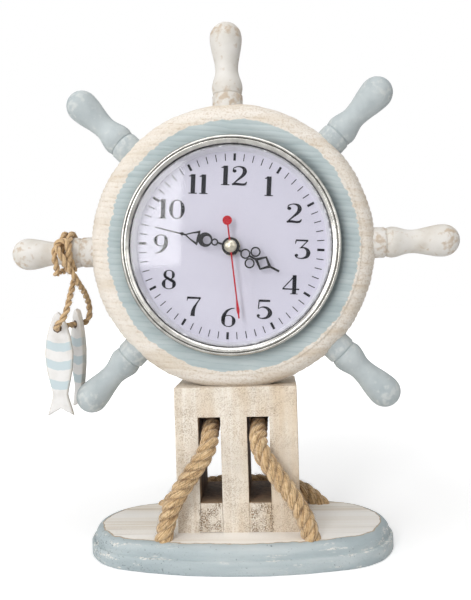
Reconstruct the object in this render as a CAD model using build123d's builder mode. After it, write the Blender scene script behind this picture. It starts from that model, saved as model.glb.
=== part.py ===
from build123d import *
import os
from math import cos, pi, radians, sin, tan

os.makedirs("parts", exist_ok=True)

# Ship's-wheel table clock, in millimetres: front is -Y, up is +Z, origin under the base's middle

# Base plinth
base_length = 148.0
base_depth = 76.0
base_end_radius = 32.0
base_slab_height = 6.9
base_top_height = 5.7
base_step = 1.8
base_round = 4.4

# Stand block: three posts with spacers between them, so that two windows go right through
post_left_width = 11.0
post_centre_width = 12.4
post_right_width = 13.2
post_round = 0.7
window_width = 10.6
window_height = 40.4
rail_height = 14.0
sill_height = 14.0
block_depth = 36.0

# Wheel and its handles
wheel_thickness = 24.0
wheel_forward = 6.0
rim_face_width = 9.3
rim_edge_width = 7.6
rim_step = 0.7
saddle_depth = 2.4
seat_gap = 0.1
fit_gap = 0.05
dowel_radius = 3.0
dowel_in_post = 16.0
dowel_in_rim = 10.0
handle_length = 39.7
handle_sunk = 2.4
flange_radius = 7.3
flange_length = 4.9
groove_radius = 6.6
groove_half_width = 0.5
collar_radius = 7.4
collar_reach = 7.8
neck_radius = 5.55
neck_reach = 16.7
knob_radius = 7.7
tenon_radius = 3.5
tenon_length = 9.0

# Wood screws that come up through the base into the posts
screw_radius = 1.75
screw_head_radius = 3.5
screw_head_height = 2.4
screw_in_post = 14.0
screw_point = 3.0

# Clock insert
bezel_radius = 51.5
bezel_height = 4.4
bezel_wall = 0.8
bezel_face_width = 4.4
bezel_groove_inset = 2.0
bezel_groove_depth = 0.45
bezel_lip = 0.9
bezel_skirt = 1.2
crown_share = 0.75
cup_flange_width = 3.3
cup_wall = 1.2
cup_flange_thickness = 1.2
cup_length = 22.0
cup_back_rim = 5.2
grip_band_thickness = 0.4
grip_band_front = 4.0
grip_band_length = 11.0
lens_thickness = 1.5
lens_rise = 2.6
lens_inset = 0.8
dial_depth = 5.0
dial_thickness = 0.5
dial_ring_width = 3.0
dial_ring_flare = 1.0
dial_ledge = 1.2

# Quartz movement
contact_room = 2.1
case_corner = 3.0
case_thickness = 16.0
case_wall = 1.4
case_front_wall = 1.2
cover_thickness = 1.2
dial_pad_thickness = 0.7
dial_pad_radius = 9.0
divider_wall = 0.8
bay_height = 15.0
bushing_radius = 3.0
bushing_reach = 3.0
nut_flats = 7.6
nut_thickness = 1.8
washer_radius = 4.4
washer_thickness = 0.4
arbor_radius = 0.6
minute_pipe_radius = 1.4
hour_pipe_radius = 1.95
run_gap = 0.06
pin_radius = 0.5
face_gap = 0.1

# Wheel train: teeth, modules and the axial room in front of each layer
gear_face = 0.8
hour_room = 0.3
motion_room = 0.5
centre_room = 0.6
third_room = 0.8
seconds_room = 1.0
intermediate_room = 1.0
magnet_room = 0.6
pinion_teeth = 8
third_teeth = 60
centre_teeth = 64
seconds_teeth = 48
intermediate_teeth = 40
cannon_teeth = 12
motion_teeth = 36
motion_pinion_teeth = 10
hour_teeth = 40
setting_teeth = 12
third_module = 0.30
seconds_module = 0.32
intermediate_module = 0.32
motion_module = 0.34
third_angle = 150.0
intermediate_angle = 40.0
rotor_angle = 60.0
motion_angle = 200.0
setting_angle = 215.0
clutch_radius = 2.2
clutch_thickness = 0.4
addendum_share = 0.8
dedendum_share = 1.2
root_share = 0.27
tip_share = 0.11

# Motor, board, battery and knob
magnet_radius = 2.5
magnet_length = 2.0
stator_gap = 0.5
stator_thickness = 1.0
stator_half_height = 4.2
stator_arm_width = 3.6
coil_radius = 2.8
coil_length = 17.0
coil_height = 10.2
coil_flange = 1.0
core_radius = 1.0
board_length = 16.0
board_height = 9.0
board_thickness = 0.8
board_margin = 1.6
battery_radius = 7.15
battery_length = 49.0
battery_nub_radius = 2.6
battery_nub_length = 1.4
battery_gap = 0.3
contact_thickness = 0.4
contact_width = 8.0
knob_disc_radius = 4.5
knob_disc_thickness = 2.5
knob_gap = 0.5
knob_scallops = 12
knob_scallop_radius = 0.7
setting_arbor_radius = 1.0

# Hands: plates with a small gap between them, at the time that the hands show
hand_thickness = 0.5
hand_gap = 0.6
hour_hub_radius = 4.2
minute_hub_radius = 3.0
hour_hand_short = 19.6
minute_hand_short = 8.7
second_hand_short = 11.2
second_hand_width = 0.7
second_thickness = 0.3
second_arrow_start = 20.5
second_arrow_widest = 30.3
second_arrow_half = 0.75
counterweight_radius = 2.2
counterweight_reach = 12.0
cap_radius = 3.0
cap_rise = 1.5
hand_line = 0.7
hour_hand_turn = 119.3
minute_hand_turn = 286.0
second_hand_turn = 174.9

# Hour hand: a small ring, two side rings and an open diamond along the hand
hour_ring_place = 7.8
hour_ring_radius = 2.4
side_ring_place = 11.6
side_ring_off = 3.0
side_ring_radius = 2.4
diamond_start = 12.4
diamond_widest = 17.2
diamond_end = 21.7
diamond_half = 3.6
needle_half = 0.5

# Minute hand: a small ring, a larger ring and an open tulip along the hand
minute_ring_place = 7.6
minute_ring_radius = 1.7
large_ring_place = 12.2
large_ring_radius = 3.4
crescent_shift = 1.6
tulip_barb_place = 15.4
tulip_half = 3.6
tulip_neck_place = 19.0
tulip_neck_half = 1.9
tulip_end = 22.6
bead_radius = 0.9

# Ropes of the stand, and the twine with its two wooden fish
rope_diameter = 8.8
rope_gap = 0.3
twine_diameter = 3.0
hitch_reach = 8.4
hitch_step = 3.3
hitch_turns = 2
hitch_gap = 0.1
hitch_corners = 8
run_share = 0.45
fish_length = 50.5
fish_half_width = 6.9
fish_waist_half = 3.6
fish_tail_half = 6.4
fish_thickness = 3.0
fish_widest_share = 0.40
fish_waist_share = 0.80
fish_notch_share = 0.93
fish_hole_share = 0.16
fish_hole_radius = 2.1
fish_back_yaw = -46.0
fish_front_hole = (-84.9, -12.0, 110.5)
fish_back_hole = (-80.6, 5.5, 111.4)
fish_hole_run = 3.8

# Turned pieces start and end their turn between two handles
section_angle = 22.5

# Places that follow from the sizes above
base_top = base_slab_height + base_top_height
block_width = post_left_width + post_centre_width + post_right_width + 2 * window_width
block_height = rail_height + window_height + sill_height
block_top = base_top + block_height
block_left = -block_width / 2
left_window = block_left + post_left_width
centre_post_left = left_window + window_width
right_window = centre_post_left + post_centre_width
post_right_left = right_window + window_width
rim_face_radius = bezel_radius + rim_face_width
wheel_radius = rim_face_radius + rim_edge_width
wheel_y = -wheel_forward
wheel_z = block_top - saddle_depth + wheel_radius
wheel_front = wheel_y - wheel_thickness / 2
bezel_opening_radius = bezel_radius - bezel_face_width
bezel_groove_radius = bezel_radius - bezel_groove_inset
cup_radius = bezel_radius - cup_flange_width
cup_opening_radius = cup_radius - cup_back_rim
dial_view_radius = cup_radius - dial_ring_width
hour_hand_length = dial_view_radius - hour_hand_short
minute_hand_length = dial_view_radius - minute_hand_short
second_hand_length = dial_view_radius - second_hand_short
bore_radius = cup_radius + grip_band_thickness + 2 * fit_gap
clock_axis = Axis((0, wheel_front, wheel_z), (0, 1, 0))


def keep(piece, name):
    """Label a finished piece and write it under its own name."""
    piece.part.label = name
    export_step(piece.part, f"parts/{name}.step")


def face_plane(depth):
    """A plane square to the clock's axis, facing the viewer, this deep behind the rim's front face."""
    return Plane(origin=(0, wheel_front + depth, wheel_z), x_dir=(1, 0, 0), z_dir=(0, -1, 0))


def section_plane():
    """A half section through the clock's axis: x is the radius, y the depth behind the front face."""
    outward = (cos(radians(section_angle)), 0, sin(radians(section_angle)))
    across = (-outward[2], 0, outward[0])
    return Plane(origin=(0, wheel_front, wheel_z), x_dir=outward, z_dir=across)


def rounded_edge(grow):
    """Points round the wheel's edge from front to back, half an oval that is larger all round by grow."""
    bulge = wheel_radius - rim_face_radius + grow
    half = wheel_thickness / 2 - rim_step + grow
    points = []
    for around in (-90, -45, 0, 45, 90):
        out, back = polar(1, around)
        points.append((rim_face_radius + bulge * out, wheel_thickness / 2 + half * back))
    return points


def polar(radius, angle):
    """A point of a face plane at this radius and angle, counted from the right and upwards."""
    return (radius * cos(radians(angle)), radius * sin(radians(angle)))


def oval(inset):
    """Eight points round the base's oval, this far inside its edge: each arc's end, then its middle."""
    half_length = base_length / 2 - inset
    half_depth = base_depth / 2 - inset
    end = base_end_radius - inset
    side = ((half_length - end) ** 2 + half_depth**2 - end**2) / (2 * (half_depth - end))
    across = half_length - end + end * (half_length - end) / (side - end)
    out = end * (side - half_depth) / (side - end)
    right = [(across, -out), (half_length, 0), (across, out), (0, half_depth)]
    return right + [(-x, -y) for x, y in right]


# Cord routes: points chosen by hand, joined by arcs as large as the runs allow
rope_front_route = [
    (-35.6, -26.0, 5.6),
    (-33.6, -26.0, 18.5),
    (-28.8, -25.8, 31.0),
    (-20.6, -25.2, 42.6),
    (-12.4, -23.2, 53.4),
    (-12.6, -12.2, 60.6),
    (-12.6, 2.0, 61.9),
    (-12.6, 12.0, 61.5),
    (-12.5, 20.0, 60.8),
    (-9.2, 27.0, 60.3),
    (-1.1, 30.0, 60.0),
    (7.0, 27.0, 60.3),
    (10.3, 20.0, 60.8),
    (10.4, 12.0, 61.5),
    (10.4, 2.0, 61.9),
    (10.4, -12.2, 60.6),
    (10.2, -23.2, 53.4),
    (17.4, -25.2, 42.6),
    (26.2, -25.8, 31.0),
    (32.6, -26.0, 18.5),
    (34.6, -26.0, 5.6),
]
rope_back_route = [
    (-47.0, 24.8, 5.6),
    (-35.3, 25.0, 18.6),
    (-23.6, 25.2, 21.8),
    (-8.5, 25.3, 23.8),
    (8.5, 25.3, 23.8),
    (23.6, 25.2, 21.8),
    (35.3, 25.0, 18.6),
    (47.0, 24.8, 5.6),
]
back_hole_way = Vector(-sin(radians(fish_back_yaw)), cos(radians(fish_back_yaw)), 0)
behind_back_hole = Vector(*fish_back_hole) + back_hole_way * fish_hole_run
before_back_hole = Vector(*fish_back_hole) - back_hole_way * fish_hole_run
twine_loop_route = [
    (-76.4, -13.8, 136.7),
    (-75.2, -9.8, 132.2),
    (-74.9, -0.5, 127.8),
    (-75.0, 6.4, 122.8),
    (-75.3, 9.8, 118.6),
    (-75.8, 10.2, 114.4),
    tuple(behind_back_hole),
    tuple(before_back_hole),
    (-84.9, -7.5, 110.5),
    (-84.9, -15.9, 110.5),
    (-83.1, -18.9, 112.6),
    (-79.4, -18.6, 116.4),
    (-78.7, -15.4, 121.4),
    (-78.7, -9.8, 127.8),
    (-78.6, -5.6, 132.4),
    (-78.6, -4.0, 134.3),
]


def cord_radii(route):
    """The arc at each corner of a route: a share of its shorter run over the tangent of half the turn."""
    radii = []
    for before, corner, after in zip(route, route[1:], route[2:]):
        run_in = Vector(*corner) - Vector(*before)
        run_out = Vector(*after) - Vector(*corner)
        shorter = min(run_in.length, run_out.length)
        radii.append(run_share * shorter / tan(radians(run_in.get_angle(run_out) / 2)))
    return radii


def cord_tube(route, diameter, name):
    """A round cord along a route, with its arcs and its volume against section times length printed."""
    with BuildPart() as cord:
        with BuildLine() as line:
            FilletPolyline(*route, radius=cord_radii(route))
        with BuildSketch(Plane(origin=line.line @ 0, z_dir=line.line % 0)):
            Circle(diameter / 2)
        sweep()
    path = line.wires()[0]
    length = path.length
    section = pi * diameter**2 / 4
    print(name, "length", round(length, 1), "volume share", round(cord.part.volume / (section * length), 4))
    print(name, "radii", [round(radius, 1) for radius in cord_radii(route)])
    return cord, path


# Base plinth: a square-edged oval slab with a stepped, rounded board above it and four rope sockets
with BuildPart() as base_plinth:
    for inset, foot, height in ((0, 0, base_slab_height), (base_step, base_slab_height, base_top_height)):
        edge = oval(inset)
        with BuildSketch(Plane.XY.offset(foot)):
            with BuildLine():
                for start in range(0, 8, 2):
                    ThreePointArc(edge[start], edge[start + 1], edge[(start + 2) % 8])
            make_face()
        extrude(amount=height)
    fillet(base_plinth.faces().sort_by(Axis.Z)[-1].edges(), base_round)
    for route in (rope_front_route, rope_front_route[::-1], rope_back_route, rope_back_route[::-1]):
        rise = Vector(*route[1]) - Vector(*route[0])
        with BuildSketch(Plane(origin=route[0], z_dir=rise)):
            Circle(rope_diameter / 2 + rope_gap)
        extrude(amount=2 * rise.length, mode=Mode.SUBTRACT)
    screw_places = [
        (block_left + post_left_width / 2, 0),
        (centre_post_left + post_centre_width / 2, 0),
        (post_right_left + post_right_width / 2, 0),
    ]
    with BuildSketch():
        with Locations(*screw_places):
            Circle(screw_radius + fit_gap)
    extrude(amount=base_top, mode=Mode.SUBTRACT)
    for place in screw_places:
        with BuildSketch(Plane(origin=(*place, 0))):
            Circle(screw_head_radius + fit_gap)
        with BuildSketch(Plane(origin=(*place, screw_head_height))):
            Circle(screw_radius + fit_gap)
        loft(mode=Mode.SUBTRACT)
keep(base_plinth, "base_plinth")

# Wood screws: countersunk heads flush with the underside, points inside the posts
with BuildPart() as base_screws:
    for place in screw_places:
        screw_end = base_top + screw_in_post
        with BuildSketch(Plane(origin=(*place, 0), x_dir=(1, 0, 0), z_dir=(0, -1, 0))):
            Polygon(
                (0, 0),
                (screw_head_radius, 0),
                (screw_radius, screw_head_height),
                (screw_radius, screw_end - screw_point),
                (0, screw_end),
                align=None,
            )
        revolve(axis=Axis((*place, 0), (0, 0, 1)))
keep(base_screws, "base_screws")

# Saddle: the rounded edge of the wheel, a little larger, that hollows the top of the stand
with BuildPart() as saddle:
    with BuildSketch(section_plane()):
        with BuildLine():
            saddle_edge = rounded_edge(seat_gap)
            Spline(*saddle_edge, tangents=[(1, 0), (-1, 0)])
            Line(saddle_edge[-1], saddle_edge[0])
        make_face()
    revolve(axis=clock_axis)

# Posts of the stand, with screw holes below, the saddle above and the dowel hole in the middle one
post_sizes = {
    "post_left": (block_left, post_left_width),
    "post_centre": (centre_post_left, post_centre_width),
    "post_right": (post_right_left, post_right_width),
}
for (post_name, (post_start, post_width)), place in zip(post_sizes.items(), screw_places):
    with BuildPart() as post:
        with BuildSketch(Plane.XY.offset(base_top)):
            with Locations((post_start + post_width / 2, 0)):
                Rectangle(post_width, block_depth)
        extrude(amount=block_height)
        if post_name == "post_left":
            fillet(post.edges().filter_by(Axis.Z).group_by(Axis.X)[0], post_round)
        if post_name == "post_right":
            fillet(post.edges().filter_by(Axis.Z).group_by(Axis.X)[-1], post_round)
        with BuildSketch(Plane(origin=(*place, 0), x_dir=(1, 0, 0), z_dir=(0, -1, 0))):
            Polygon(
                (0, 0),
                (screw_radius + fit_gap, 0),
                (screw_radius + fit_gap, base_top + screw_in_post - screw_point),
                (0, base_top + screw_in_post + fit_gap),
                align=None,
            )
        revolve(axis=Axis((*place, 0), (0, 0, 1)), mode=Mode.SUBTRACT)
        add(saddle.part, mode=Mode.SUBTRACT)
        if post_name == "post_centre":
            dowel_foot = wheel_z - wheel_radius - dowel_in_post
            with BuildSketch(Plane(origin=(0, wheel_y, dowel_foot))):
                Circle(dowel_radius + fit_gap)
            extrude(amount=2 * dowel_in_post, mode=Mode.SUBTRACT)
    keep(post, post_name)

# Spacers glued between the posts, above and below each window
spacer_places = {
    "spacer_upper_left": (left_window, base_top + sill_height + window_height, rail_height),
    "spacer_upper_right": (right_window, base_top + sill_height + window_height, rail_height),
    "spacer_lower_left": (left_window, base_top, sill_height),
    "spacer_lower_right": (right_window, base_top, sill_height),
}
for spacer_name, (spacer_start, spacer_foot, spacer_height) in spacer_places.items():
    with BuildPart() as spacer:
        with BuildSketch(Plane.XY.offset(spacer_foot)):
            with Locations((spacer_start + window_width / 2, 0)):
                Rectangle(window_width, block_depth)
        extrude(amount=spacer_height)
        add(saddle.part, mode=Mode.SUBTRACT)
    keep(spacer, spacer_name)

# Dowel between the centre post and the wheel, where the eighth handle would stand
with BuildPart() as wheel_dowel:
    with BuildSketch(Plane(origin=(0, wheel_y, dowel_foot))):
        Circle(dowel_radius)
    extrude(amount=dowel_in_post + dowel_in_rim)
keep(wheel_dowel, "wheel_dowel")

# Handles by name and angle, counted from the right and upwards
handle_angles = {
    "handle_top": 90,
    "handle_upper_right": 45,
    "handle_right": 0,
    "handle_lower_right": -45,
    "handle_lower_left": -135,
    "handle_left": 180,
    "handle_upper_left": 135,
}
wheel_centre = (0, wheel_y, wheel_z)
handle_seat = wheel_radius - handle_sunk


def spoke(angle):
    """The unit direction from the wheel's centre along a handle."""
    return Vector(cos(radians(angle)), 0, sin(radians(angle)))


# Handle sockets: a spot face and a tenon hole for each handle, cut from the rim in one go
with BuildPart() as handle_sockets:
    for angle in handle_angles.values():
        seat_plane = Plane(origin=Vector(*wheel_centre) + spoke(angle) * handle_seat, z_dir=spoke(angle))
        with BuildSketch(seat_plane):
            Circle(flange_radius + fit_gap)
        extrude(amount=2 * handle_sunk)
        with BuildSketch(seat_plane):
            Circle(tenon_radius + fit_gap)
        extrude(amount=-tenon_length)

# Wheel rim: a turned disc with a flat face, a small step and a rounded edge, bored for the insert
with BuildPart() as wheel_rim:
    with BuildSketch(section_plane()):
        with BuildLine():
            rim_edge = rounded_edge(0)
            Polyline((bore_radius, 0), (rim_face_radius, 0), rim_edge[0])
            Spline(*rim_edge, tangents=[(1, 0), (-1, 0)])
            Polyline(
                rim_edge[-1],
                (rim_face_radius, wheel_thickness),
                (bore_radius, wheel_thickness),
                (bore_radius, 0),
            )
        make_face()
    revolve(axis=clock_axis)
    add(handle_sockets.part, mode=Mode.SUBTRACT)
    with BuildSketch(Plane(origin=(0, wheel_y, wheel_z - wheel_radius + dowel_in_rim))):
        Circle(dowel_radius + fit_gap)
    extrude(amount=-2 * dowel_in_rim, mode=Mode.SUBTRACT)
keep(wheel_rim, "wheel_rim")

# Turned handles: tenon, flange, groove, collar, waist and round end
for handle_name, angle in handle_angles.items():
    turned = Plane(
        origin=wheel_centre,
        x_dir=(sin(radians(angle)), 0, -cos(radians(angle))),
        z_dir=(0, -1, 0),
    )
    flange_end = wheel_radius + flange_length
    collar_start = (groove_radius + groove_half_width, flange_end + groove_half_width)
    tip = (0, wheel_radius + handle_length)
    knob = (knob_radius, tip[1] - knob_radius)
    shoulder = polar(knob_radius, 45)
    with BuildPart() as handle:
        with BuildSketch(turned):
            with BuildLine():
                Polyline(
                    tip,
                    (0, handle_seat - tenon_length),
                    (tenon_radius, handle_seat - tenon_length),
                    (tenon_radius, handle_seat),
                    (flange_radius, handle_seat),
                    (flange_radius, flange_end - groove_half_width),
                    (groove_radius, flange_end),
                    collar_start,
                )
                Spline(
                    collar_start,
                    (collar_radius, wheel_radius + collar_reach),
                    (neck_radius, wheel_radius + neck_reach),
                    knob,
                    tangents=[(groove_half_width, groove_half_width), (0, 1)],
                )
                ThreePointArc(knob, (shoulder[0], knob[1] + shoulder[1]), tip)
            make_face()
        revolve(axis=Axis(wheel_centre, spoke(angle)))
    keep(handle, handle_name)

# Insert cup: flanged at the front, with a ledge for the dial and an open back
cup_inside = cup_radius - cup_wall
cup_flange_radius = bezel_radius - bezel_wall - fit_gap
dial_back = dial_depth + dial_thickness
with BuildPart() as insert_cup:
    with BuildSketch(section_plane()):
        Polygon(
            (cup_inside, -cup_flange_thickness),
            (cup_flange_radius, -cup_flange_thickness),
            (cup_flange_radius, 0),
            (cup_radius, 0),
            (cup_radius, cup_length),
            (cup_opening_radius, cup_length),
            (cup_opening_radius, cup_length - cup_wall),
            (cup_inside, cup_length - cup_wall),
            (cup_inside, dial_back + dial_ledge),
            (cup_inside - dial_ledge, dial_back + dial_ledge),
            (cup_inside - dial_ledge, dial_back),
            (cup_inside, dial_back),
            align=None,
        )
    revolve(axis=clock_axis)
keep(insert_cup, "insert_cup")

# Grip band: the soft sleeve that holds the cup in the bore
with BuildPart() as grip_band:
    with BuildSketch(face_plane(grip_band_front + grip_band_length)):
        Circle(bore_radius - fit_gap)
        Circle(cup_radius + fit_gap, mode=Mode.SUBTRACT)
    extrude(amount=grip_band_length)
keep(grip_band, "grip_band")

# Dial plate, with a hole for the bushing
with BuildPart() as dial_plate:
    with BuildSketch(face_plane(dial_back)):
        Circle(cup_inside - face_gap)
        Circle(bushing_radius + fit_gap, mode=Mode.SUBTRACT)
    extrude(amount=dial_thickness)
keep(dial_plate, "dial_plate")

# Dial ring: the flared wall between the dial and the lens
with BuildPart() as dial_ring:
    with BuildSketch(section_plane()):
        Polygon(
            (dial_view_radius, dial_depth),
            (cup_inside - face_gap, dial_depth),
            (cup_inside - face_gap, -cup_flange_thickness),
            (dial_view_radius + dial_ring_flare, -cup_flange_thickness),
            align=None,
        )
    revolve(axis=clock_axis)
keep(dial_ring, "dial_ring")

# Lens: a clear dome with a flat edge that the bezel holds down
lens_radius = cup_flange_radius - lens_inset
dome_radius = dial_view_radius + dial_ring_flare


def dome_arc(edge_radius, edge_depth, rise):
    """A dome's face from its edge to the axis: the three points of an arc of one sphere."""
    sphere = (edge_radius**2 + rise**2) / (2 * rise)
    half = edge_radius / 2
    drop = sphere - (sphere**2 - half**2) ** 0.5
    return (edge_radius, edge_depth), (half, edge_depth - rise + drop), (0, edge_depth - rise)


with BuildPart() as lens:
    lens_back = -cup_flange_thickness
    lens_front = lens_back - lens_thickness
    with BuildSketch(section_plane()):
        with BuildLine():
            Polyline(
                (dome_radius, lens_back),
                (lens_radius, lens_back),
                (lens_radius, lens_front),
                (dome_radius, lens_front),
            )
            ThreePointArc(*dome_arc(dome_radius, lens_front, lens_rise))
            Line((0, lens_front - lens_rise), (0, lens_back - lens_rise))
            ThreePointArc(*dome_arc(dome_radius, lens_back, lens_rise))
        make_face()
    revolve(axis=clock_axis)
keep(lens, "lens")

# Bezel: a rounded outer ring, a fine groove and a flatter inner ring that overlaps the lens
with BuildPart() as bezel:
    bezel_inside = bezel_radius - bezel_wall
    lip_back = lens_front - face_gap
    crown_radius = bezel_groove_radius + bezel_groove_depth
    with BuildSketch(section_plane()):
        with BuildLine():
            Polyline(
                (bezel_groove_radius, bezel_groove_depth - bezel_height),
                (bezel_groove_radius - bezel_groove_depth, -bezel_height),
                (bezel_opening_radius, lip_back - bezel_lip),
                (bezel_opening_radius, lip_back),
                (bezel_inside, lip_back),
                (bezel_inside, 0),
                (bezel_radius, 0),
                (bezel_radius, -bezel_skirt),
            )
            ThreePointArc(
                (bezel_radius, -bezel_skirt),
                (
                    crown_radius + crown_share * (bezel_radius - crown_radius),
                    -bezel_skirt - crown_share * (bezel_height - bezel_skirt),
                ),
                (crown_radius, -bezel_height),
            )
            Line((crown_radius, -bezel_height), (bezel_groove_radius, bezel_groove_depth - bezel_height))
        make_face()
    revolve(axis=clock_axis)
keep(bezel, "bezel")

# Depths of the movement, from the case's front to its back
case_front = dial_back + dial_pad_thickness
inner_front = case_front + case_front_wall
case_back = case_front + case_thickness
inner_back = case_back - cover_thickness
hour_front = inner_front + hour_room
motion_front = hour_front + gear_face + motion_room
centre_front = motion_front + gear_face + centre_room
third_front = centre_front + gear_face + third_room
seconds_front = third_front + gear_face + seconds_room
intermediate_front = seconds_front + gear_face + intermediate_room
magnet_front = intermediate_front + gear_face + magnet_room
bushing_front = dial_depth - bushing_reach
hour_hand_back = bushing_front - hour_room
minute_hand_back = hour_hand_back - hand_thickness - hand_gap
second_hand_back = minute_hand_back - hand_thickness - hand_gap
second_hand_front = second_hand_back - second_thickness

# Axes of the wheel train, on the clock's face plane
centre_module = third_module * (pinion_teeth + third_teeth) / (pinion_teeth + centre_teeth)
hour_module = motion_module * (cannon_teeth + motion_teeth) / (motion_pinion_teeth + hour_teeth)
third_place = polar(third_module * (pinion_teeth + third_teeth) / 2, third_angle)
intermediate_place = polar(seconds_module * (pinion_teeth + seconds_teeth) / 2, intermediate_angle)
rotor_reach = polar(intermediate_module * (pinion_teeth + intermediate_teeth) / 2, rotor_angle)
rotor_place = (intermediate_place[0] + rotor_reach[0], intermediate_place[1] + rotor_reach[1])
motion_place = polar(motion_module * (cannon_teeth + motion_teeth) / 2, motion_angle)
setting_reach = polar(motion_module * (setting_teeth + motion_teeth) / 2, setting_angle)
setting_place = (motion_place[0] + setting_reach[0], motion_place[1] + setting_reach[1])


def toothed(teeth, module, turn):
    """Corners of a straight-flanked wheel whose first tooth points at this angle."""
    pitch = 360 / teeth
    root = (teeth / 2 - dedendum_share) * module
    tip_radius = (teeth / 2 + addendum_share) * module
    corners = []
    for tooth in range(teeth):
        middle = turn + tooth * pitch
        corners.append(polar(root, middle - root_share * pitch))
        corners.append(polar(tip_radius, middle - tip_share * pitch))
        corners.append(polar(tip_radius, middle + tip_share * pitch))
        corners.append(polar(root, middle + root_share * pitch))
    return corners


def meshed(turn, teeth, other_teeth, angle):
    """Turn of the second wheel of a pair that sits at this angle from the first, teeth into gaps."""
    ahead = (turn - angle) / 360 * teeth
    return angle + 180 + (0.5 - ahead) * 360 / other_teeth


def train_piece(place, bore, layers):
    """A wheel of the train: round or toothed layers on one axis, with a hole for its pin if it has one."""
    with BuildPart() as piece:
        for front, back, outline in layers:
            with BuildSketch(face_plane(back)):
                with Locations(place):
                    if isinstance(outline, list):
                        Polygon(*outline, align=None)
                    else:
                        Circle(outline)
            extrude(amount=back - front)
        if bore:
            with BuildSketch(face_plane(layers[-1][1])):
                with Locations(place):
                    Circle(bore)
            extrude(amount=layers[-1][1] - layers[0][0], mode=Mode.SUBTRACT)
    return piece


# Turns of the meshing wheels at rest
cannon_turn = motion_angle
motion_turn = meshed(cannon_turn, cannon_teeth, motion_teeth, motion_angle)
motion_pinion_turn = motion_angle + 180
hour_turn = meshed(motion_pinion_turn, motion_pinion_teeth, hour_teeth, motion_angle + 180)
setting_turn = meshed(motion_turn, motion_teeth, setting_teeth, setting_angle)
seconds_pinion_turn = third_angle
third_turn = meshed(seconds_pinion_turn, pinion_teeth, third_teeth, third_angle)
third_pinion_turn = third_angle + 180
centre_turn = meshed(third_pinion_turn, pinion_teeth, centre_teeth, third_angle + 180)
seconds_turn = intermediate_angle
intermediate_pinion_turn = meshed(seconds_turn, seconds_teeth, pinion_teeth, intermediate_angle)
intermediate_turn = rotor_angle
rotor_pinion_turn = meshed(intermediate_turn, intermediate_teeth, pinion_teeth, rotor_angle)

# Hour wheel with the outer pipe that carries the hour hand
hour_wheel = train_piece(
    (0, 0),
    minute_pipe_radius + run_gap,
    [
        (hour_hand_back - hand_thickness, hour_front, hour_pipe_radius),
        (hour_front, hour_front + gear_face, toothed(hour_teeth, hour_module, hour_turn)),
    ],
)
keep(hour_wheel, "hour_wheel")

# Minute pipe with the cannon pinion and the clutch flange behind the centre wheel
clutch_front = centre_front + gear_face + face_gap
minute_pipe = train_piece(
    (0, 0),
    arbor_radius + run_gap,
    [
        (minute_hand_back - hand_thickness, motion_front, minute_pipe_radius),
        (motion_front, motion_front + gear_face, toothed(cannon_teeth, motion_module, cannon_turn)),
        (motion_front + gear_face, clutch_front, minute_pipe_radius),
        (clutch_front, clutch_front + clutch_thickness, clutch_radius),
    ],
)
keep(minute_pipe, "minute_pipe")

# Motion wheel and pinion, between the minute pipe and the hour wheel
motion_wheel = train_piece(
    motion_place,
    pin_radius + run_gap,
    [
        (hour_front, motion_front, toothed(motion_pinion_teeth, hour_module, motion_pinion_turn)),
        (motion_front, motion_front + gear_face, toothed(motion_teeth, motion_module, motion_turn)),
    ],
)
keep(motion_wheel, "motion_wheel")

# Centre wheel, which drives the minute pipe through the clutch
centre_wheel = train_piece(
    (0, 0),
    minute_pipe_radius + run_gap,
    [(centre_front, centre_front + gear_face, toothed(centre_teeth, centre_module, centre_turn))],
)
keep(centre_wheel, "centre_wheel")

# Third wheel and pinion
third_wheel = train_piece(
    third_place,
    pin_radius + run_gap,
    [
        (centre_front, third_front, toothed(pinion_teeth, centre_module, third_pinion_turn)),
        (third_front, third_front + gear_face, toothed(third_teeth, third_module, third_turn)),
    ],
)
keep(third_wheel, "third_wheel")

# Seconds wheel on the long arbor that runs through both pipes to the second hand
seconds_pinion_front = clutch_front + clutch_thickness + face_gap
seconds_wheel = train_piece(
    (0, 0),
    None,
    [
        (second_hand_front, seconds_pinion_front, arbor_radius),
        (seconds_pinion_front, seconds_front, toothed(pinion_teeth, third_module, seconds_pinion_turn)),
        (seconds_front, seconds_front + gear_face, toothed(seconds_teeth, seconds_module, seconds_turn)),
        (seconds_front + gear_face, inner_back + cover_thickness / 2, arbor_radius),
    ],
)
keep(seconds_wheel, "seconds_wheel")

# Intermediate wheel and pinion, between the rotor and the seconds wheel
intermediate_wheel = train_piece(
    intermediate_place,
    pin_radius + run_gap,
    [
        (seconds_front, intermediate_front, toothed(pinion_teeth, seconds_module, intermediate_pinion_turn)),
        (
            intermediate_front,
            intermediate_front + gear_face,
            toothed(intermediate_teeth, intermediate_module, intermediate_turn),
        ),
    ],
)
keep(intermediate_wheel, "intermediate_wheel")

# Rotor: the motor's round magnet with its pinion
rotor = train_piece(
    rotor_place,
    pin_radius + run_gap,
    [
        (intermediate_front, magnet_front, toothed(pinion_teeth, intermediate_module, rotor_pinion_turn)),
        (magnet_front, magnet_front + magnet_length, magnet_radius),
    ],
)
keep(rotor, "rotor")

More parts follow.
